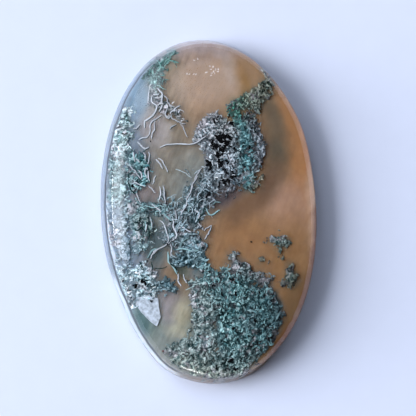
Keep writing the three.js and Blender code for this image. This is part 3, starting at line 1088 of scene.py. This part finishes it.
def flakes_at(places, seed):
    """Flakes as uneven cells: for each place the tone of its flake, how much of a crack lies there,
    and how far to the lit side of its flake it is. Places are in flakes."""
    table = np.random.default_rng(seed).uniform(0, 1, (256, 256, 3))
    home = np.floor(places).astype(int)
    nearest = np.full(len(places), np.inf)
    second = nearest.copy()
    tone = np.zeros(len(places))
    side = np.zeros(len(places))
    for right in (-1, 0, 1):
        for up in (-1, 0, 1):
            cell = home + (right, up)
            own = table[cell[:, 0] % 256, cell[:, 1] % 256]
            away = places - cell - own[:, :2]
            distance = np.linalg.norm(away, axis=1)
            closer = distance < nearest
            second = np.where(closer, nearest, np.minimum(second, distance))
            nearest = np.where(closer, distance, nearest)
            tone = np.where(closer, own[:, 2], tone)
            side = np.where(closer, away[:, 1] - away[:, 0], side)
    return tone, np.clip(1 - (second - nearest) / (2 * CRACK), 0, 1), side


def without_corner_touches(cells):
    """Takes away cells that touch another only at a corner, so that the mesh's walls stay sound."""
    while True:
        a, b, c, d = cells[:-1, :-1], cells[:-1, 1:], cells[1:, :-1], cells[1:, 1:]
        falling = a & d & ~b & ~c
        rising = b & c & ~a & ~d
        if not (falling | rising).any():
            return cells
        a &= ~falling
        b &= ~rising


def mass_gap(surface, names, places):
    """How far each place lies outside the mass of the named beds, in millimetres, and whether the
    bed there runs one way."""
    nearest = np.full(len(places), np.inf)
    runs = np.zeros(len(places), bool)
    for number, bed in enumerate(BEDS):
        if bed.name not in names:
            continue
        gap = past_edge(spine_on_stone(surface, bed.spine), places) / MM
        near = gap < EDGE_RAGGED
        gap[near] += EDGE_RAGGED * ragged(places[near], number, EDGE_GRAIN)
        sparse = max(0, 1 - bed.mass / FULL_MASS)
        if sparse:
            gap[near] += 2.2 * sparse * (0.45 + ragged(places[near], number + 60.5, 1.3))
        closer = gap < nearest
        nearest = np.where(closer, gap, nearest)
        runs = np.where(closer, bed.flow is not None, runs)
    return nearest, runs


def mass_colours(tints, tone, crack, fade, mist):
    """Colours of the mass: from its own towards its pale or dark one by tone, dark in the cracks, and
    hazy towards the edge and where mist lies."""
    dark, own, pale, haze = (tints[:, index] for index in range(4))
    up = np.clip(tone, 0, MOST_PALE)[:, None]
    down = np.clip(-tone, 0, 1)[:, None]
    colours = own + (pale - own) * up + (dark - own) * down
    colours += (dark * CRACK_SHADE - colours) * crack[:, None]
    return colours + (haze - colours) * np.maximum(MASS_HAZE * fade, mist)[:, None]


def moss_mass(surface, names, settings):
    """The flaky mass of the named beds as one closed sheet: its corners, faces and colours."""
    spines = np.concatenate([spine_on_stone(surface, b.spine) for b in BEDS if b.name in names])
    margin = EDGE_RAGGED * MM + spines[:, 2:]
    low = (spines[:, :2] - margin).min(0)
    high = (spines[:, :2] + margin).max(0)
    columns, rows = np.ceil((high - low) / (MASS_GRID * MM)).astype(int) + 1
    shape = rows, columns
    x, y = np.meshgrid(np.linspace(low[0], high[0], columns), np.linspace(low[1], high[1], rows))
    places = np.stack([x.ravel(), y.ravel()], axis=1)
    gap, runs = mass_gap(surface, names, places)
    inside = (gap < 0).reshape(shape)
    cells = inside[:-1, :-1] & inside[:-1, 1:] & inside[1:, :-1] & inside[1:, 1:]
    cells = without_corner_touches(np.pad(cells, 1))[1:-1, 1:-1]
    used = np.zeros(shape, bool)
    for part in (used[:-1, :-1], used[:-1, 1:], used[1:, :-1], used[1:, 1:]):
        part |= cells
    used = used.ravel()
    places, gap, runs = places[used], gap[used], runs[used]

    warp = np.stack([ragged(places, 5.5, 1.6), ragged(places, 9.5, 1.6)], axis=1)
    warped = places / MM + FLAKE_WARP * warp
    along = np.array([math.cos(FLOW), math.sin(FLOW)])
    stretched = warped - np.outer(warped @ along, along) * (1 - 1 / FLAKE_STRETCH)
    warped = np.where(runs[:, None], stretched, warped) / FLAKE_SIZE
    tone, crack, side = flakes_at(warped, 3)
    lump = ragged(places, 40.5, 0.9)
    open_cracks = np.clip(0.75 + 1.8 * ragged(places, 70.5, 1.3), 0, 1)
    crack *= open_cracks
    curls = np.abs(ragged(places, 50.5, 1.7))
    curl = np.clip(1 - curls / CURL_WIDTH, 0, 1) * np.clip(0.6 + 1.5 * ragged(places, 55.5, 0.7), 0, 1)
    fade = np.clip(1 + gap / MASS_EDGE, 0, 1)
    tone = TONE_SPREAD * (tone - 0.5) + LUMP_LIGHT_AND_SHADE * lump + TONE_SIDE * side + 0.9 * curl
    mist = np.clip(MIST * ragged(places, 30.5, 0.45), 0, MOST_MIST)
    tone = np.clip(tone + BROAD_TONE * ragged(places, 35.5, 0.5), -1, MOST_PALE)
    colours = mass_colours(tints_at(surface, places), tone, crack * (1 - curl), fade, mist)
    grey = colours.mean(axis=1, keepdims=True) * GREYER
    drift = np.clip(TONE_DRIFT * ragged(places, 90.5, 0.8), 0, 0.8)[:, None]
    colours = np.clip(colours + (grey - colours) * drift, 0, 1)
    relief = np.clip(0.5 + 0.5 * tone, 0, 1) - 0.8 * crack
    share = MASS_DEPTH - MASS_LUMPS * lump - MASS_RELIEF * relief
    share = np.clip(share + (1.0 - share) * fade**1.5, 0.12, 1.0)

    stone = bpy.context.scene.agate_stone
    top = [surface.between(px, py, s, stone) for (px, py), s in zip(places, share)]
    sound = np.array([corner is not None for corner in top])
    top = np.array([corner or (0, 0, 0) for corner in top])
    index = np.full(len(used), -1)
    index[np.flatnonzero(used)[sound]] = np.arange(sound.sum())
    index = index.reshape(shape)
    quads = np.stack([index[:-1, :-1], index[:-1, 1:], index[1:, 1:], index[1:, :-1]], axis=-1)
    cells &= (quads >= 0).all(-1)
    cells = without_corner_touches(np.pad(cells, 1))
    quads = quads[cells[1:-1, 1:-1]]
    top, colours = top[sound], colours[sound]
    bottom = top - (0, 0, MASS_THICKNESS * MM)
    walls = []
    around = cells
    for ends, beside in (
        ((0, 1), around[:-2, 1:-1]), ((1, 2), around[1:-1, 2:]),
        ((2, 3), around[2:, 1:-1]), ((3, 0), around[1:-1, :-2]),
    ):
        edge = quads[~beside[cells[1:-1, 1:-1]]]
        first, second = edge[:, ends[0]], edge[:, ends[1]]
        walls.append(np.stack([second, first, first + len(top), second + len(top)], axis=1))
    faces = np.concatenate([quads, quads[:, ::-1] + len(top), *walls])
    corners = np.concatenate([top, bottom])
    kept, faces = np.unique(faces, return_inverse=True)
    # Painted shade: the sheet's underside is darker than its top.
    return corners[kept], faces.reshape(-1, 4), np.concatenate([colours, colours * 0.6])[kept]


def strand_arrays(paths, radii, colours, flats, tilts):
    """Closed strands as corners, faces and colours. paths is strands by steps by 3, and radii
    strands by steps."""
    count, steps = radii.shape
    forward = np.gradient(paths, axis=1)
    forward /= np.linalg.norm(forward, axis=2, keepdims=True)
    across = np.cross(forward, (0.0, 0.0, 1.0)) + 1e-9
    across /= np.linalg.norm(across, axis=2, keepdims=True)
    over = np.cross(across, forward)
    leaning, upright = np.sin(tilts)[:, None, None], np.cos(tilts)[:, None, None]
    across, over = upright * across + leaning * over, upright * over - leaning * across
    over *= flats[:, None, None]
    turns = np.arange(SIDES) * 2 * np.pi / SIDES
    round_it = (
        np.cos(turns)[:, None] * across[:, :, None] + np.sin(turns)[:, None] * over[:, :, None]
    )
    rings = paths[:, :, None] + radii[:, :, None, None] * round_it
    first = paths[:, :1] - forward[:, :1] * radii[:, :1, None]
    last = paths[:, -1:] + forward[:, -1:] * radii[:, -1:, None]
    corners = np.concatenate([rings.reshape(count, -1, 3), first, last], axis=1)
    one = []
    for step in range(steps - 1):
        for side in range(SIDES):
            here = step * SIDES + side
            beside = step * SIDES + (side + 1) % SIDES
            one += [(here, here + SIDES, beside + SIDES), (here, beside + SIDES, beside)]
    start, end, top = steps * SIDES, steps * SIDES + 1, (steps - 1) * SIDES
    for side in range(SIDES):
        beside = (side + 1) % SIDES
        one += [(start, side, beside), (end, top + beside, top + side)]
    offsets = np.arange(count) * corners.shape[1]
    faces = (np.array(one)[None] + offsets[:, None, None]).reshape(-1, 3)
    # Painted shade: each strand is darker on its lower side.
    height = np.concatenate([np.tile(np.sin(turns), steps), [0, 0]])
    shades = colours[:, None] * (1 + UNDERSIDE_PAINTED_SHADE * np.minimum(height, 0))[None, :, None]
    return corners.reshape(-1, 3), faces, shades.reshape(-1, 3)


def tinted_piece(name, parts, gaps):
    """One piece of several sets of corners, faces and colours."""
    mesh = bpy.data.meshes.new(name)
    corners, faces, shades = [], [], []
    for places, polygons, colours in parts:
        faces += (polygons + len(corners)).tolist()
        corners += places.tolist()
        shades += colours.tolist()
    mesh.from_pydata(corners, [], faces)
    mesh.shade_smooth()
    shades = np.concatenate([np.array(shades), np.ones((len(shades), 1))], axis=1)
    tint = mesh.attributes.new("tint", "FLOAT_COLOR", "POINT")
    tint.data.foreach_set("color", shades.ravel())
    piece = bpy.data.objects.new(name, mesh)
    bpy.context.scene.collection.objects.link(piece)
    piece.data.materials.append(strand_material(name.replace("_", " ").title(), gaps))
    belongs(piece)


class Growth:
    """Strands being gathered for one piece."""

    def __init__(self):
        self.paths = []
        self.radii = []
        self.colours = []
        self.flats = []
        self.tilts = []

    def add(self, path, radii, colour, flat=1.0, tilt=0.0):
        self.paths.append(path)
        self.radii.append(radii)
        self.colours.append(colour)
        self.flats.append(flat)
        self.tilts.append(tilt)

    def finish(self, name, gaps=0.0, parts=()):
        rows = (self.paths, self.radii, self.colours, self.flats, self.tilts)
        tinted_piece(name, [*parts, strand_arrays(*(np.array(row) for row in rows))], gaps)


def strand_walk(rng, x, y, heading, length, curl, steps):
    """A curling walk from a place, in the way it first heads."""
    stride = length / (steps - 1)
    bend = rng.normal(0, curl)
    walk = [(x, y)]
    for _ in range(steps - 1):
        bend = 0.6 * bend + rng.normal(0, curl * 0.7)
        heading += bend * stride / MM
        x += stride * math.cos(heading)
        y += stride * math.sin(heading)
        walk.append((x, y))
    return walk


def taper(rng, radius, steps):
    """Radii along a strand: full in the middle, thinner towards its ends, and uneven."""
    share = np.linspace(-1, 1, steps)
    return radius * (1 - 0.45 * share**4) * rng.uniform(0.72, 1.2, steps)


def tints_at(surface, places):
    """The dark, mass, pale and haze of the beds at each place, where near ones run into each other."""
    blended = np.zeros((len(places), 4, 3))
    total = np.zeros(len(places))
    for bed in BEDS:
        gap = past_edge(spine_on_stone(surface, bed.spine), places) / MM
        weight = np.exp(-np.maximum(gap + BLEND, 0) / BLEND)
        blended += weight[:, None, None] * np.array(bed.tint)[None]
        total += weight
    return blended / total[:, None, None]


def shade_of(rng, tints, layer, veil):
    """A strand's colour: its layer's, nearer to another one by chance, under some haze."""
    named = dict(zip(Tint._fields, tints))
    own, other = (named[colour] for colour in layer.colours)
    colour = own + (other - own) * rng.uniform(*TOWARDS[layer.name])
    colour = colour + (named["haze"] - colour) * veil
    return np.clip(colour * math.exp(rng.normal(0, TONE_CHANCE)), 0, 1)


def grow_bed(growth, surface, bed, number, settings):
    """Fills a bed with strands: its mass, then pale curls and dark gaps over it."""
    rng = np.random.default_rng(settings.seed * 100 + number)
    spine = spine_on_stone(surface, bed.spine)
    kind = KINDS[bed.kind]
    margin = EDGE_RAGGED * MM + spine[:, 2:]
    low = (spine[:, :2] - margin).min(0)
    high = (spine[:, :2] + margin).max(0)
    area = np.prod((high - low) / MM)
    for layer in LAYERS:
        count = int(area * layer.share * getattr(bed, layer.count) * settings.fullness)
        places = rng.uniform(low, high, (count, 2))
        gap = past_edge(spine, places) / MM + EDGE_RAGGED * ragged(places, number, EDGE_GRAIN)
        lump = ragged(places, number + 40.5, 0.9)
        pits = ragged(places, number + 80.5, 2.2)
        tints = tints_at(surface, places)
        for (x, y), outside, height, pit, colours in zip(places, gap, lump, pits, tints):
            if outside > 0 or height < HOLLOW[layer.name] or pit < PIT[layer.name]:
                continue
            length = rng.uniform(*kind.length) * layer.length * MM
            radius = rng.uniform(*kind.thickness) * layer.thickness * MM / 2
            share = rng.uniform()
            fade = max(0, 1 + outside / FADE)
            deep = layer.depth[0] + (layer.depth[1] - layer.depth[0]) * share
            deep += EDGE_SINK * fade - LUMP_HEIGHT * height
            heading = rng.uniform(0, 2 * math.pi)
            if bed.flow is not None:
                heading = math.radians(bed.flow) + rng.normal(0, kind.stray)
            walk = strand_walk(rng, x, y, heading, length, kind.curl * layer.curl, STEPS)
            depths = deep * MM + np.cumsum(rng.normal(0, 0.03 * MM, STEPS))
            depths = np.maximum(depths, radius + LEAST_COVER)
            points = [surface.under(px, py, d) for (px, py), d in zip(walk, depths)]
            if None in points:
                continue
            veil = min(0.75, VEIL * (0.35 * share + 0.8 * fade) + 0.25 * max(0, -height))
            colour = shade_of(rng, colours, layer, veil)
            tilt = rng.normal(0, TILT)
            growth.add(points, taper(rng, radius, STEPS), colour, layer.flat, tilt)


def smooth_line(points, steps):
    """A smooth line through points of a plane, at even steps."""
    points = [Vector(p) for p in points]
    ends = [2 * points[0] - points[1], *points, 2 * points[-1] - points[-2]]
    spans = len(points) - 1
    line = []
    for step in range(steps):
        at = step * spans / (steps - 1)
        span = min(int(at), spans - 1)
        t = at - span
        a, b, c, d = ends[span:span + 4]
        line.append(
            0.5 * (2 * b + (c - a) * t + (2 * a - 5 * b + 4 * c - d) * t * t
                   + (3 * b - a - 3 * c + d) * t * t * t)
        )
    return line


def grow_threads(surface):
    """The long threads that lie over the moss; the pale and mint ones have a painted shadow, a darker strand along
    their lower right side.
    """
    rng = np.random.default_rng(LOOSE_SEED)
    growth = Growth()
    for threads, colour, width, depth in (
        (PALE_THREADS, PALE_THREAD, 1.15, 0.16),
        (MINT_THREADS, MINT_THREAD, 1.3, 0.18),
        (DARK_THREADS, DARK_THREAD, 1.1, 0.12),
    ):
        for pixels in threads:
            line = smooth_line(pixels, THREAD_STEPS)
            stray = np.cumsum(rng.normal(0, THREAD_WAVER / 2, (THREAD_STEPS, 2)), axis=0)
            stray -= np.linspace(stray[0], stray[-1], THREAD_STEPS)
            line = [(p.x + off[0], p.y + off[1]) for p, off in zip(line, stray)]
            radii = taper(rng, width * PIXEL / 2 * rng.uniform(0.75, 1.5), THREAD_STEPS)
            path = [surface.seen_at(x, y, depth * MM + r) for (x, y), r in zip(line, radii)]
            growth.add(path, radii, np.array(colour) * rng.uniform(0.68, 1.12))
            # Painted shadow: a darker strand a little deeper and to the lower right of the thread.
            if threads is not DARK_THREADS:
                beside = [
                    surface.seen_at(x + 0.8, y + 0.6, (depth + 0.1) * MM + r)
                    for (x, y), r in zip(line, radii)
                ]
                growth.add(beside, radii * 0.8, np.array(PAINTED_THREAD_SHADOW))
    growth.finish("threads")


def grow_specks(surface):
    """Black specks near the surface, each one fat strand or a few."""
    rng = np.random.default_rng(LOOSE_SEED + 1)
    growth = Growth()
    for x, y, reach in SPECKS:
        for stub in range(1 if reach < 1.3 else 2 if reach < 1.7 else 5):
            off = rng.normal(0, 0.45 * reach, 2) if stub else (0, 0)
            walk = strand_walk(
                rng, x + off[0], y + off[1], rng.uniform(0, 2 * math.pi),
                1.5 * reach, 0.4 * MM, SPECK_STEPS,
            )
            radii = taper(rng, rng.uniform(0.55, 0.75) * min(reach, 2.2) * PIXEL, SPECK_STEPS)
            path = [surface.seen_at(px, py, SPECK_DEPTH + r) for (px, py), r in zip(walk, radii)]
            growth.add(path, radii, np.array(SPECK_COLOUR) * rng.uniform(0.6, 1.6))
        if reach < RING_FROM:
            continue
        for arc in range(RING_ARCS):
            start = rng.uniform(0, 2 * math.pi)
            turns = start + np.linspace(0, rng.uniform(1.5, 2.8), SPECK_STEPS)
            far = (0.95 * reach + 0.7) * rng.uniform(0.85, 1.2)
            radii = taper(rng, 0.42 * PIXEL, SPECK_STEPS)
            path = [
                surface.seen_at(x + far * math.cos(t), y + far * math.sin(t), RING_DEPTH + r)
                for t, r in zip(turns, radii)
            ]
            growth.add(path, radii, np.array(RING_COLOUR) * rng.uniform(0.6, 1.1))
    # Painted glints as pale specks near the surface, and a grain of rust.
    for places, colour, size in ((GLINTS, GLINT_COLOUR, 0.4), (RUST, RUST_COLOUR, 0.7)):
        for x, y in places:
            walk = strand_walk(rng, x, y, rng.uniform(0, 2 * math.pi), 1.8, 0.4 * MM, SPECK_STEPS)
            radii = taper(rng, size * PIXEL, SPECK_STEPS)
            path = [surface.seen_at(px, py, SPECK_DEPTH + r) for (px, py), r in zip(walk, radii)]
            growth.add(path, radii, np.array(colour) * rng.uniform(0.85, 1.15))
    growth.finish("specks")


class AGATE_OT_ground(bpy.types.Operator):
    """Adds the cloudy ground of the stone, just inside its polished surface"""

    bl_idname = "agate.ground"
    bl_label = "Add Cloudy Ground"

    def execute(self, context):
        settings = context.scene.agate_stone
        ground = stone_copy("cloudy_ground", 2)
        bpy.ops.object.mode_set(mode="EDIT")
        bpy.ops.mesh.select_all(action="SELECT")
        bpy.ops.transform.shrink_fatten(value=-settings.ground_depth, use_even_offset=True)
        bpy.ops.object.mode_set(mode="OBJECT")
        for vertex in ground.data.vertices:
            vertex.co.z -= settings.crown_depth * crown_share(vertex.co.z)
        surface = Surface()
        stain_ground(ground, surface)
        ground.data.materials.append(ground_material(surface, settings.honey))
        belongs(ground)
        return {"FINISHED"}


class AGATE_OT_moss(bpy.types.Operator):
    """Grows the beds of moss under the polished surface"""

    bl_idname = "agate.moss"
    bl_label = "Grow Moss"

    def execute(self, context):
        settings = context.scene.agate_moss
        surface = Surface()
        for name, beds in PIECES.items():
            growth = Growth()
            for number, bed in enumerate(BEDS):
                if bed.name in beds:
                    grow_bed(growth, surface, bed, number, settings)
            growth.finish(name, MOSS_GAPS, [moss_mass(surface, beds, settings)])
        return {"FINISHED"}


class AGATE_OT_threads(bpy.types.Operator):
    """Lays the long threads and the black specks over the moss"""

    bl_idname = "agate.threads"
    bl_label = "Lay Threads and Specks"

    def execute(self, context):
        surface = Surface()
        grow_threads(surface)
        grow_specks(surface)
        return {"FINISHED"}


def milky_material():
    """Milky chalcedony, mottled and a little lilac."""
    material, tree, shader, place = new_material("Milky Chalcedony")
    colour = varied(tree, place, srgb(170, 180, 191), 2.2, 0.6, 1.45, 5.0)
    tree.links.new(colour, shader.inputs["Base Color"])
    even = grouped(tree, evened_group(), amount=GROUND_EVEN)
    tree.links.new(even.outputs[0], shader.inputs["Normal"])
    shader.inputs["Roughness"].default_value = 0.5
    shader.inputs["Specular IOR Level"].default_value = 0
    return material


class AGATE_OT_shard(bpy.types.Operator):
    """Sets the milky shard into the stone, low on the left"""

    bl_idname = "agate.shard"
    bl_label = "Set Milky Shard"

    def execute(self, context):
        surface = Surface()
        deselect_all()
        bpy.ops.mesh.primitive_circle_add(vertices=len(SHARD), radius=1 * MM, fill_type="NGON")
        shard = context.object
        shard.name = "milky_shard"
        for vertex, (x, y) in zip(shard.data.vertices, reversed(SHARD)):
            vertex.co = surface.seen_at(x, y, SHARD_DEPTH)
        bpy.ops.object.mode_set(mode="EDIT")
        bpy.ops.mesh.select_all(action="SELECT")
        bpy.ops.mesh.extrude_region_move(TRANSFORM_OT_translate={"value": (0, 0, -SHARD_THICKNESS)})
        bpy.ops.mesh.select_all(action="SELECT")
        bpy.ops.mesh.normals_make_consistent(inside=False)
        bpy.ops.object.mode_set(mode="OBJECT")
        rounded = shard.modifiers.new("rounded", "BEVEL")
        rounded.width = SHARD_THICKNESS / 4
        rounded.segments = 2
        bpy.ops.object.modifier_apply(modifier=rounded.name)
        bpy.ops.object.shade_smooth_by_angle(angle=math.radians(40))
        shard.data.materials.append(milky_material())
        belongs(shard)
        return {"FINISHED"}


class AGATE_OT_polish(bpy.types.Operator):
    """Adds the clear polished surface, which stands for the stone"""

    bl_idname = "agate.polish"
    bl_label = "Add Polished Surface"

    def execute(self, context):
        surface = stone_copy("polished_surface", 0)
        surface.data.materials.append(polish_material())
        belongs(surface)
        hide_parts(STONE)
        return {"FINISHED"}


class AGATE_OT_stage(bpy.types.Operator):
    """Sets the floor, the soft light and the camera"""

    bl_idname = "agate.stage"
    bl_label = "Set the Stage"

    def execute(self, context):
        settings = context.scene.agate_stage
        deselect_all()
        bpy.ops.mesh.primitive_plane_add(size=1.2, location=(0, 0, -0.02 * MM))
        floor = context.object
        floor.name = "floor"
        material, tree, shader, place = new_material("Pale Floor")
        grain = node(tree, "ShaderNodeTexNoise", in_scale=0.35, in_detail=4.0)
        tree.links.new(place, grain.inputs["Vector"])
        paler = [min(1, level * 1.04) for level in settings.floor_colour]
        colour = mixed(tree, settings.floor_colour, paler, grain.outputs[0])
        tree.links.new(colour, shader.inputs["Base Color"])
        shader.inputs["Roughness"].default_value = 0.7
        floor.data.materials.append(material)
        set_world(context.scene)
        inside = [
            piece for piece in context.scene.objects
            if piece.type == "MESH" and piece.name in INSIDE_PIECES
        ]
        add_lamp(KEY, settings.key_power, [floor])
        add_lamp(INNER, settings.inner_power, inside)
        camera = bpy.data.cameras.new("camera")
        camera.sensor_width = 36
        camera.lens = camera.sensor_width * VIEW_DISTANCE / VIEW_WIDTH
        camera.clip_start = 1 * MM
        eye = bpy.data.objects.new("camera", camera)
        context.scene.collection.objects.link(eye)
        eye.matrix_world = camera_place()
        context.scene.camera = eye
        context.scene.view_settings.view_transform = "Standard"
        return {"FINISHED"}


# Soft lights in the surroundings, in degrees: the azimuth from the left (-X) towards +Y is below 0,
# then the elevation, half the light's width and height, how soft its edge is, strength and colour.
Glow = namedtuple("Glow", "name azimuth elevation width height edge strength colour")
GLOWS = [
    Glow("window on the left", -6, 21, 19, 17, 0.45, 5.0, (0.96, 1.0, 1.08)),
    Glow("window on the upper left", -52, 28, 16, 26, 0.4, 3.2, (0.90, 1.0, 1.16)),
    Glow("window beyond the tip", -103, 52, 28, 15, 0.4, 2.0, (0.9, 1.0, 1.2)),
    Glow("bright sill on the left", -4, 1.5, 9, 1.5, 0.5, 20.0, (1.0, 1.0, 1.0)),
    Glow("lamp beyond the foot", 80, 6, 8, 5, 0.5, 12.0, (1.0, 1.0, 1.0)),
]
AMBIENT = (0.022, 0.022, 0.026)

# Lamps out of the picture on the left, which stand for the windows: the azimuth and elevation as
# above, the distance, width and height in metres, and the colour. Light bends as it enters the
# stone, so the lamp that only the stone's inside sees stands higher than the one that lights the floor.
Lamp = namedtuple("Lamp", "name azimuth elevation distance width height colour")
KEY = Lamp("key_light", -6, 22, 1.0, 0.73, 0.65, (0.96, 1.0, 1.08))
INNER = Lamp("light_bent_inwards", -18, 54, 1.0, 1.0, 0.7, (0.98, 1.0, 1.05))


def add_lamp(lamp, power, lit):
    """A soft lamp that lights the given pieces. The world's glows are what the polish mirrors."""
    bpy.ops.object.light_add(type="AREA")
    made = bpy.context.object
    made.name = lamp.name
    made.data.shape = "RECTANGLE"
    made.data.size = lamp.width
    made.data.size_y = lamp.height
    made.data.energy = power
    made.data.color = lamp.colour
    azimuth, elevation = math.radians(lamp.azimuth), math.radians(lamp.elevation)
    level = math.cos(elevation)
    made.location = lamp.distance * Vector((
        -math.cos(azimuth) * level, -math.sin(azimuth) * level, math.sin(elevation),
    ))
    made.rotation_euler = (-made.location).to_track_quat("-Z", "Y").to_euler()
    made.visible_camera = False
    made.visible_glossy = False
    made.visible_transmission = False
    group = bpy.data.collections.new("lit by " + lamp.name)
    for piece in lit:
        group.objects.link(piece)
    made.light_linking.receiver_collection = group


def set_world(scene):
    """Dim surroundings with a few soft glows, which the polished surface mirrors."""
    world = bpy.data.worlds.new("surroundings")
    scene.world = world
    world.use_nodes = True
    tree = world.node_tree
    link = tree.links.new
    direction = tree.nodes.new("ShaderNodeTexCoord").outputs["Generated"]
    turned = node(tree, "ShaderNodeVectorMath", operation="MULTIPLY")
    turned.inputs[1].default_value = (-1, -1, 1)
    split = tree.nodes.new("ShaderNodeSeparateXYZ")
    azimuth = node(tree, "ShaderNodeMath", operation="ARCTAN2")
    elevation = node(tree, "ShaderNodeMath", operation="ARCSINE")
    angles = tree.nodes.new("ShaderNodeCombineXYZ")
    degrees = node(tree, "ShaderNodeVectorMath", operation="SCALE")
    degrees.inputs["Scale"].default_value = math.degrees(1)
    link(direction, turned.inputs[0])
    link(turned.outputs[0], split.inputs[0])
    link(split.outputs["Y"], azimuth.inputs[0])
    link(split.outputs["X"], azimuth.inputs[1])
    link(split.outputs["Z"], elevation.inputs[0])
    link(azimuth.outputs[0], angles.inputs["X"])
    link(elevation.outputs[0], angles.inputs["Y"])
    link(angles.outputs[0], degrees.inputs[0])
    colour = AMBIENT
    for glow in GLOWS:
        mask = grouped(
            tree, cloud_group(), middle=(glow.azimuth, glow.elevation, 0),
            reach=(glow.width, glow.height, 1), edge=glow.edge,
        )
        link(degrees.outputs[0], mask.inputs["Place"])
        shine = [level * glow.strength for level in glow.colour]
        colour = mixed(tree, colour, shine, mask.outputs[0], "ADD")
    link(colour, tree.nodes["Background"].inputs["Color"])


class AGATE_PT_panel(bpy.types.Panel):
    """Lists the steps that dress the stone"""

    bl_idname = "AGATE_PT_panel"
    bl_label = "Moss Agate"
    bl_space_type = "VIEW_3D"
    bl_region_type = "UI"
    bl_category = "Moss Agate"

    def draw(self, context):
        layout = self.layout
        for settings in SETTINGS:
            group = getattr(context.scene, settings)
            for name in group.bl_rna.properties.keys():
                if name not in ("rna_type", "name"):
                    layout.prop(group, name)
        for step in STEPS_IN_ORDER:
            layout.operator(step.bl_idname)


SETTINGS = {
    "agate_stone": StoneSettings,
    "agate_moss": MossSettings,
    "agate_stage": StageSettings,
}
STEPS_IN_ORDER = (
    AGATE_OT_ground, AGATE_OT_moss, AGATE_OT_threads, AGATE_OT_shard, AGATE_OT_polish, AGATE_OT_stage,
)


def register():
    for kind in (*SETTINGS.values(), *STEPS_IN_ORDER, AGATE_PT_panel):
        bpy.utils.register_class(kind)
    for name, kind in SETTINGS.items():
        setattr(bpy.types.Scene, name, PointerProperty(type=kind))


def unregister():
    for name in SETTINGS:
        delattr(bpy.types.Scene, name)
    for kind in reversed((*SETTINGS.values(), *STEPS_IN_ORDER, AGATE_PT_panel)):
        bpy.utils.unregister_class(kind)


def main():
    register()
    bpy.ops.agate.ground()
    bpy.ops.agate.moss()
    bpy.ops.agate.threads()
    bpy.ops.agate.shard()
    bpy.ops.agate.polish()
    bpy.ops.agate.stage()


if __name__ == "__main__":
    main()
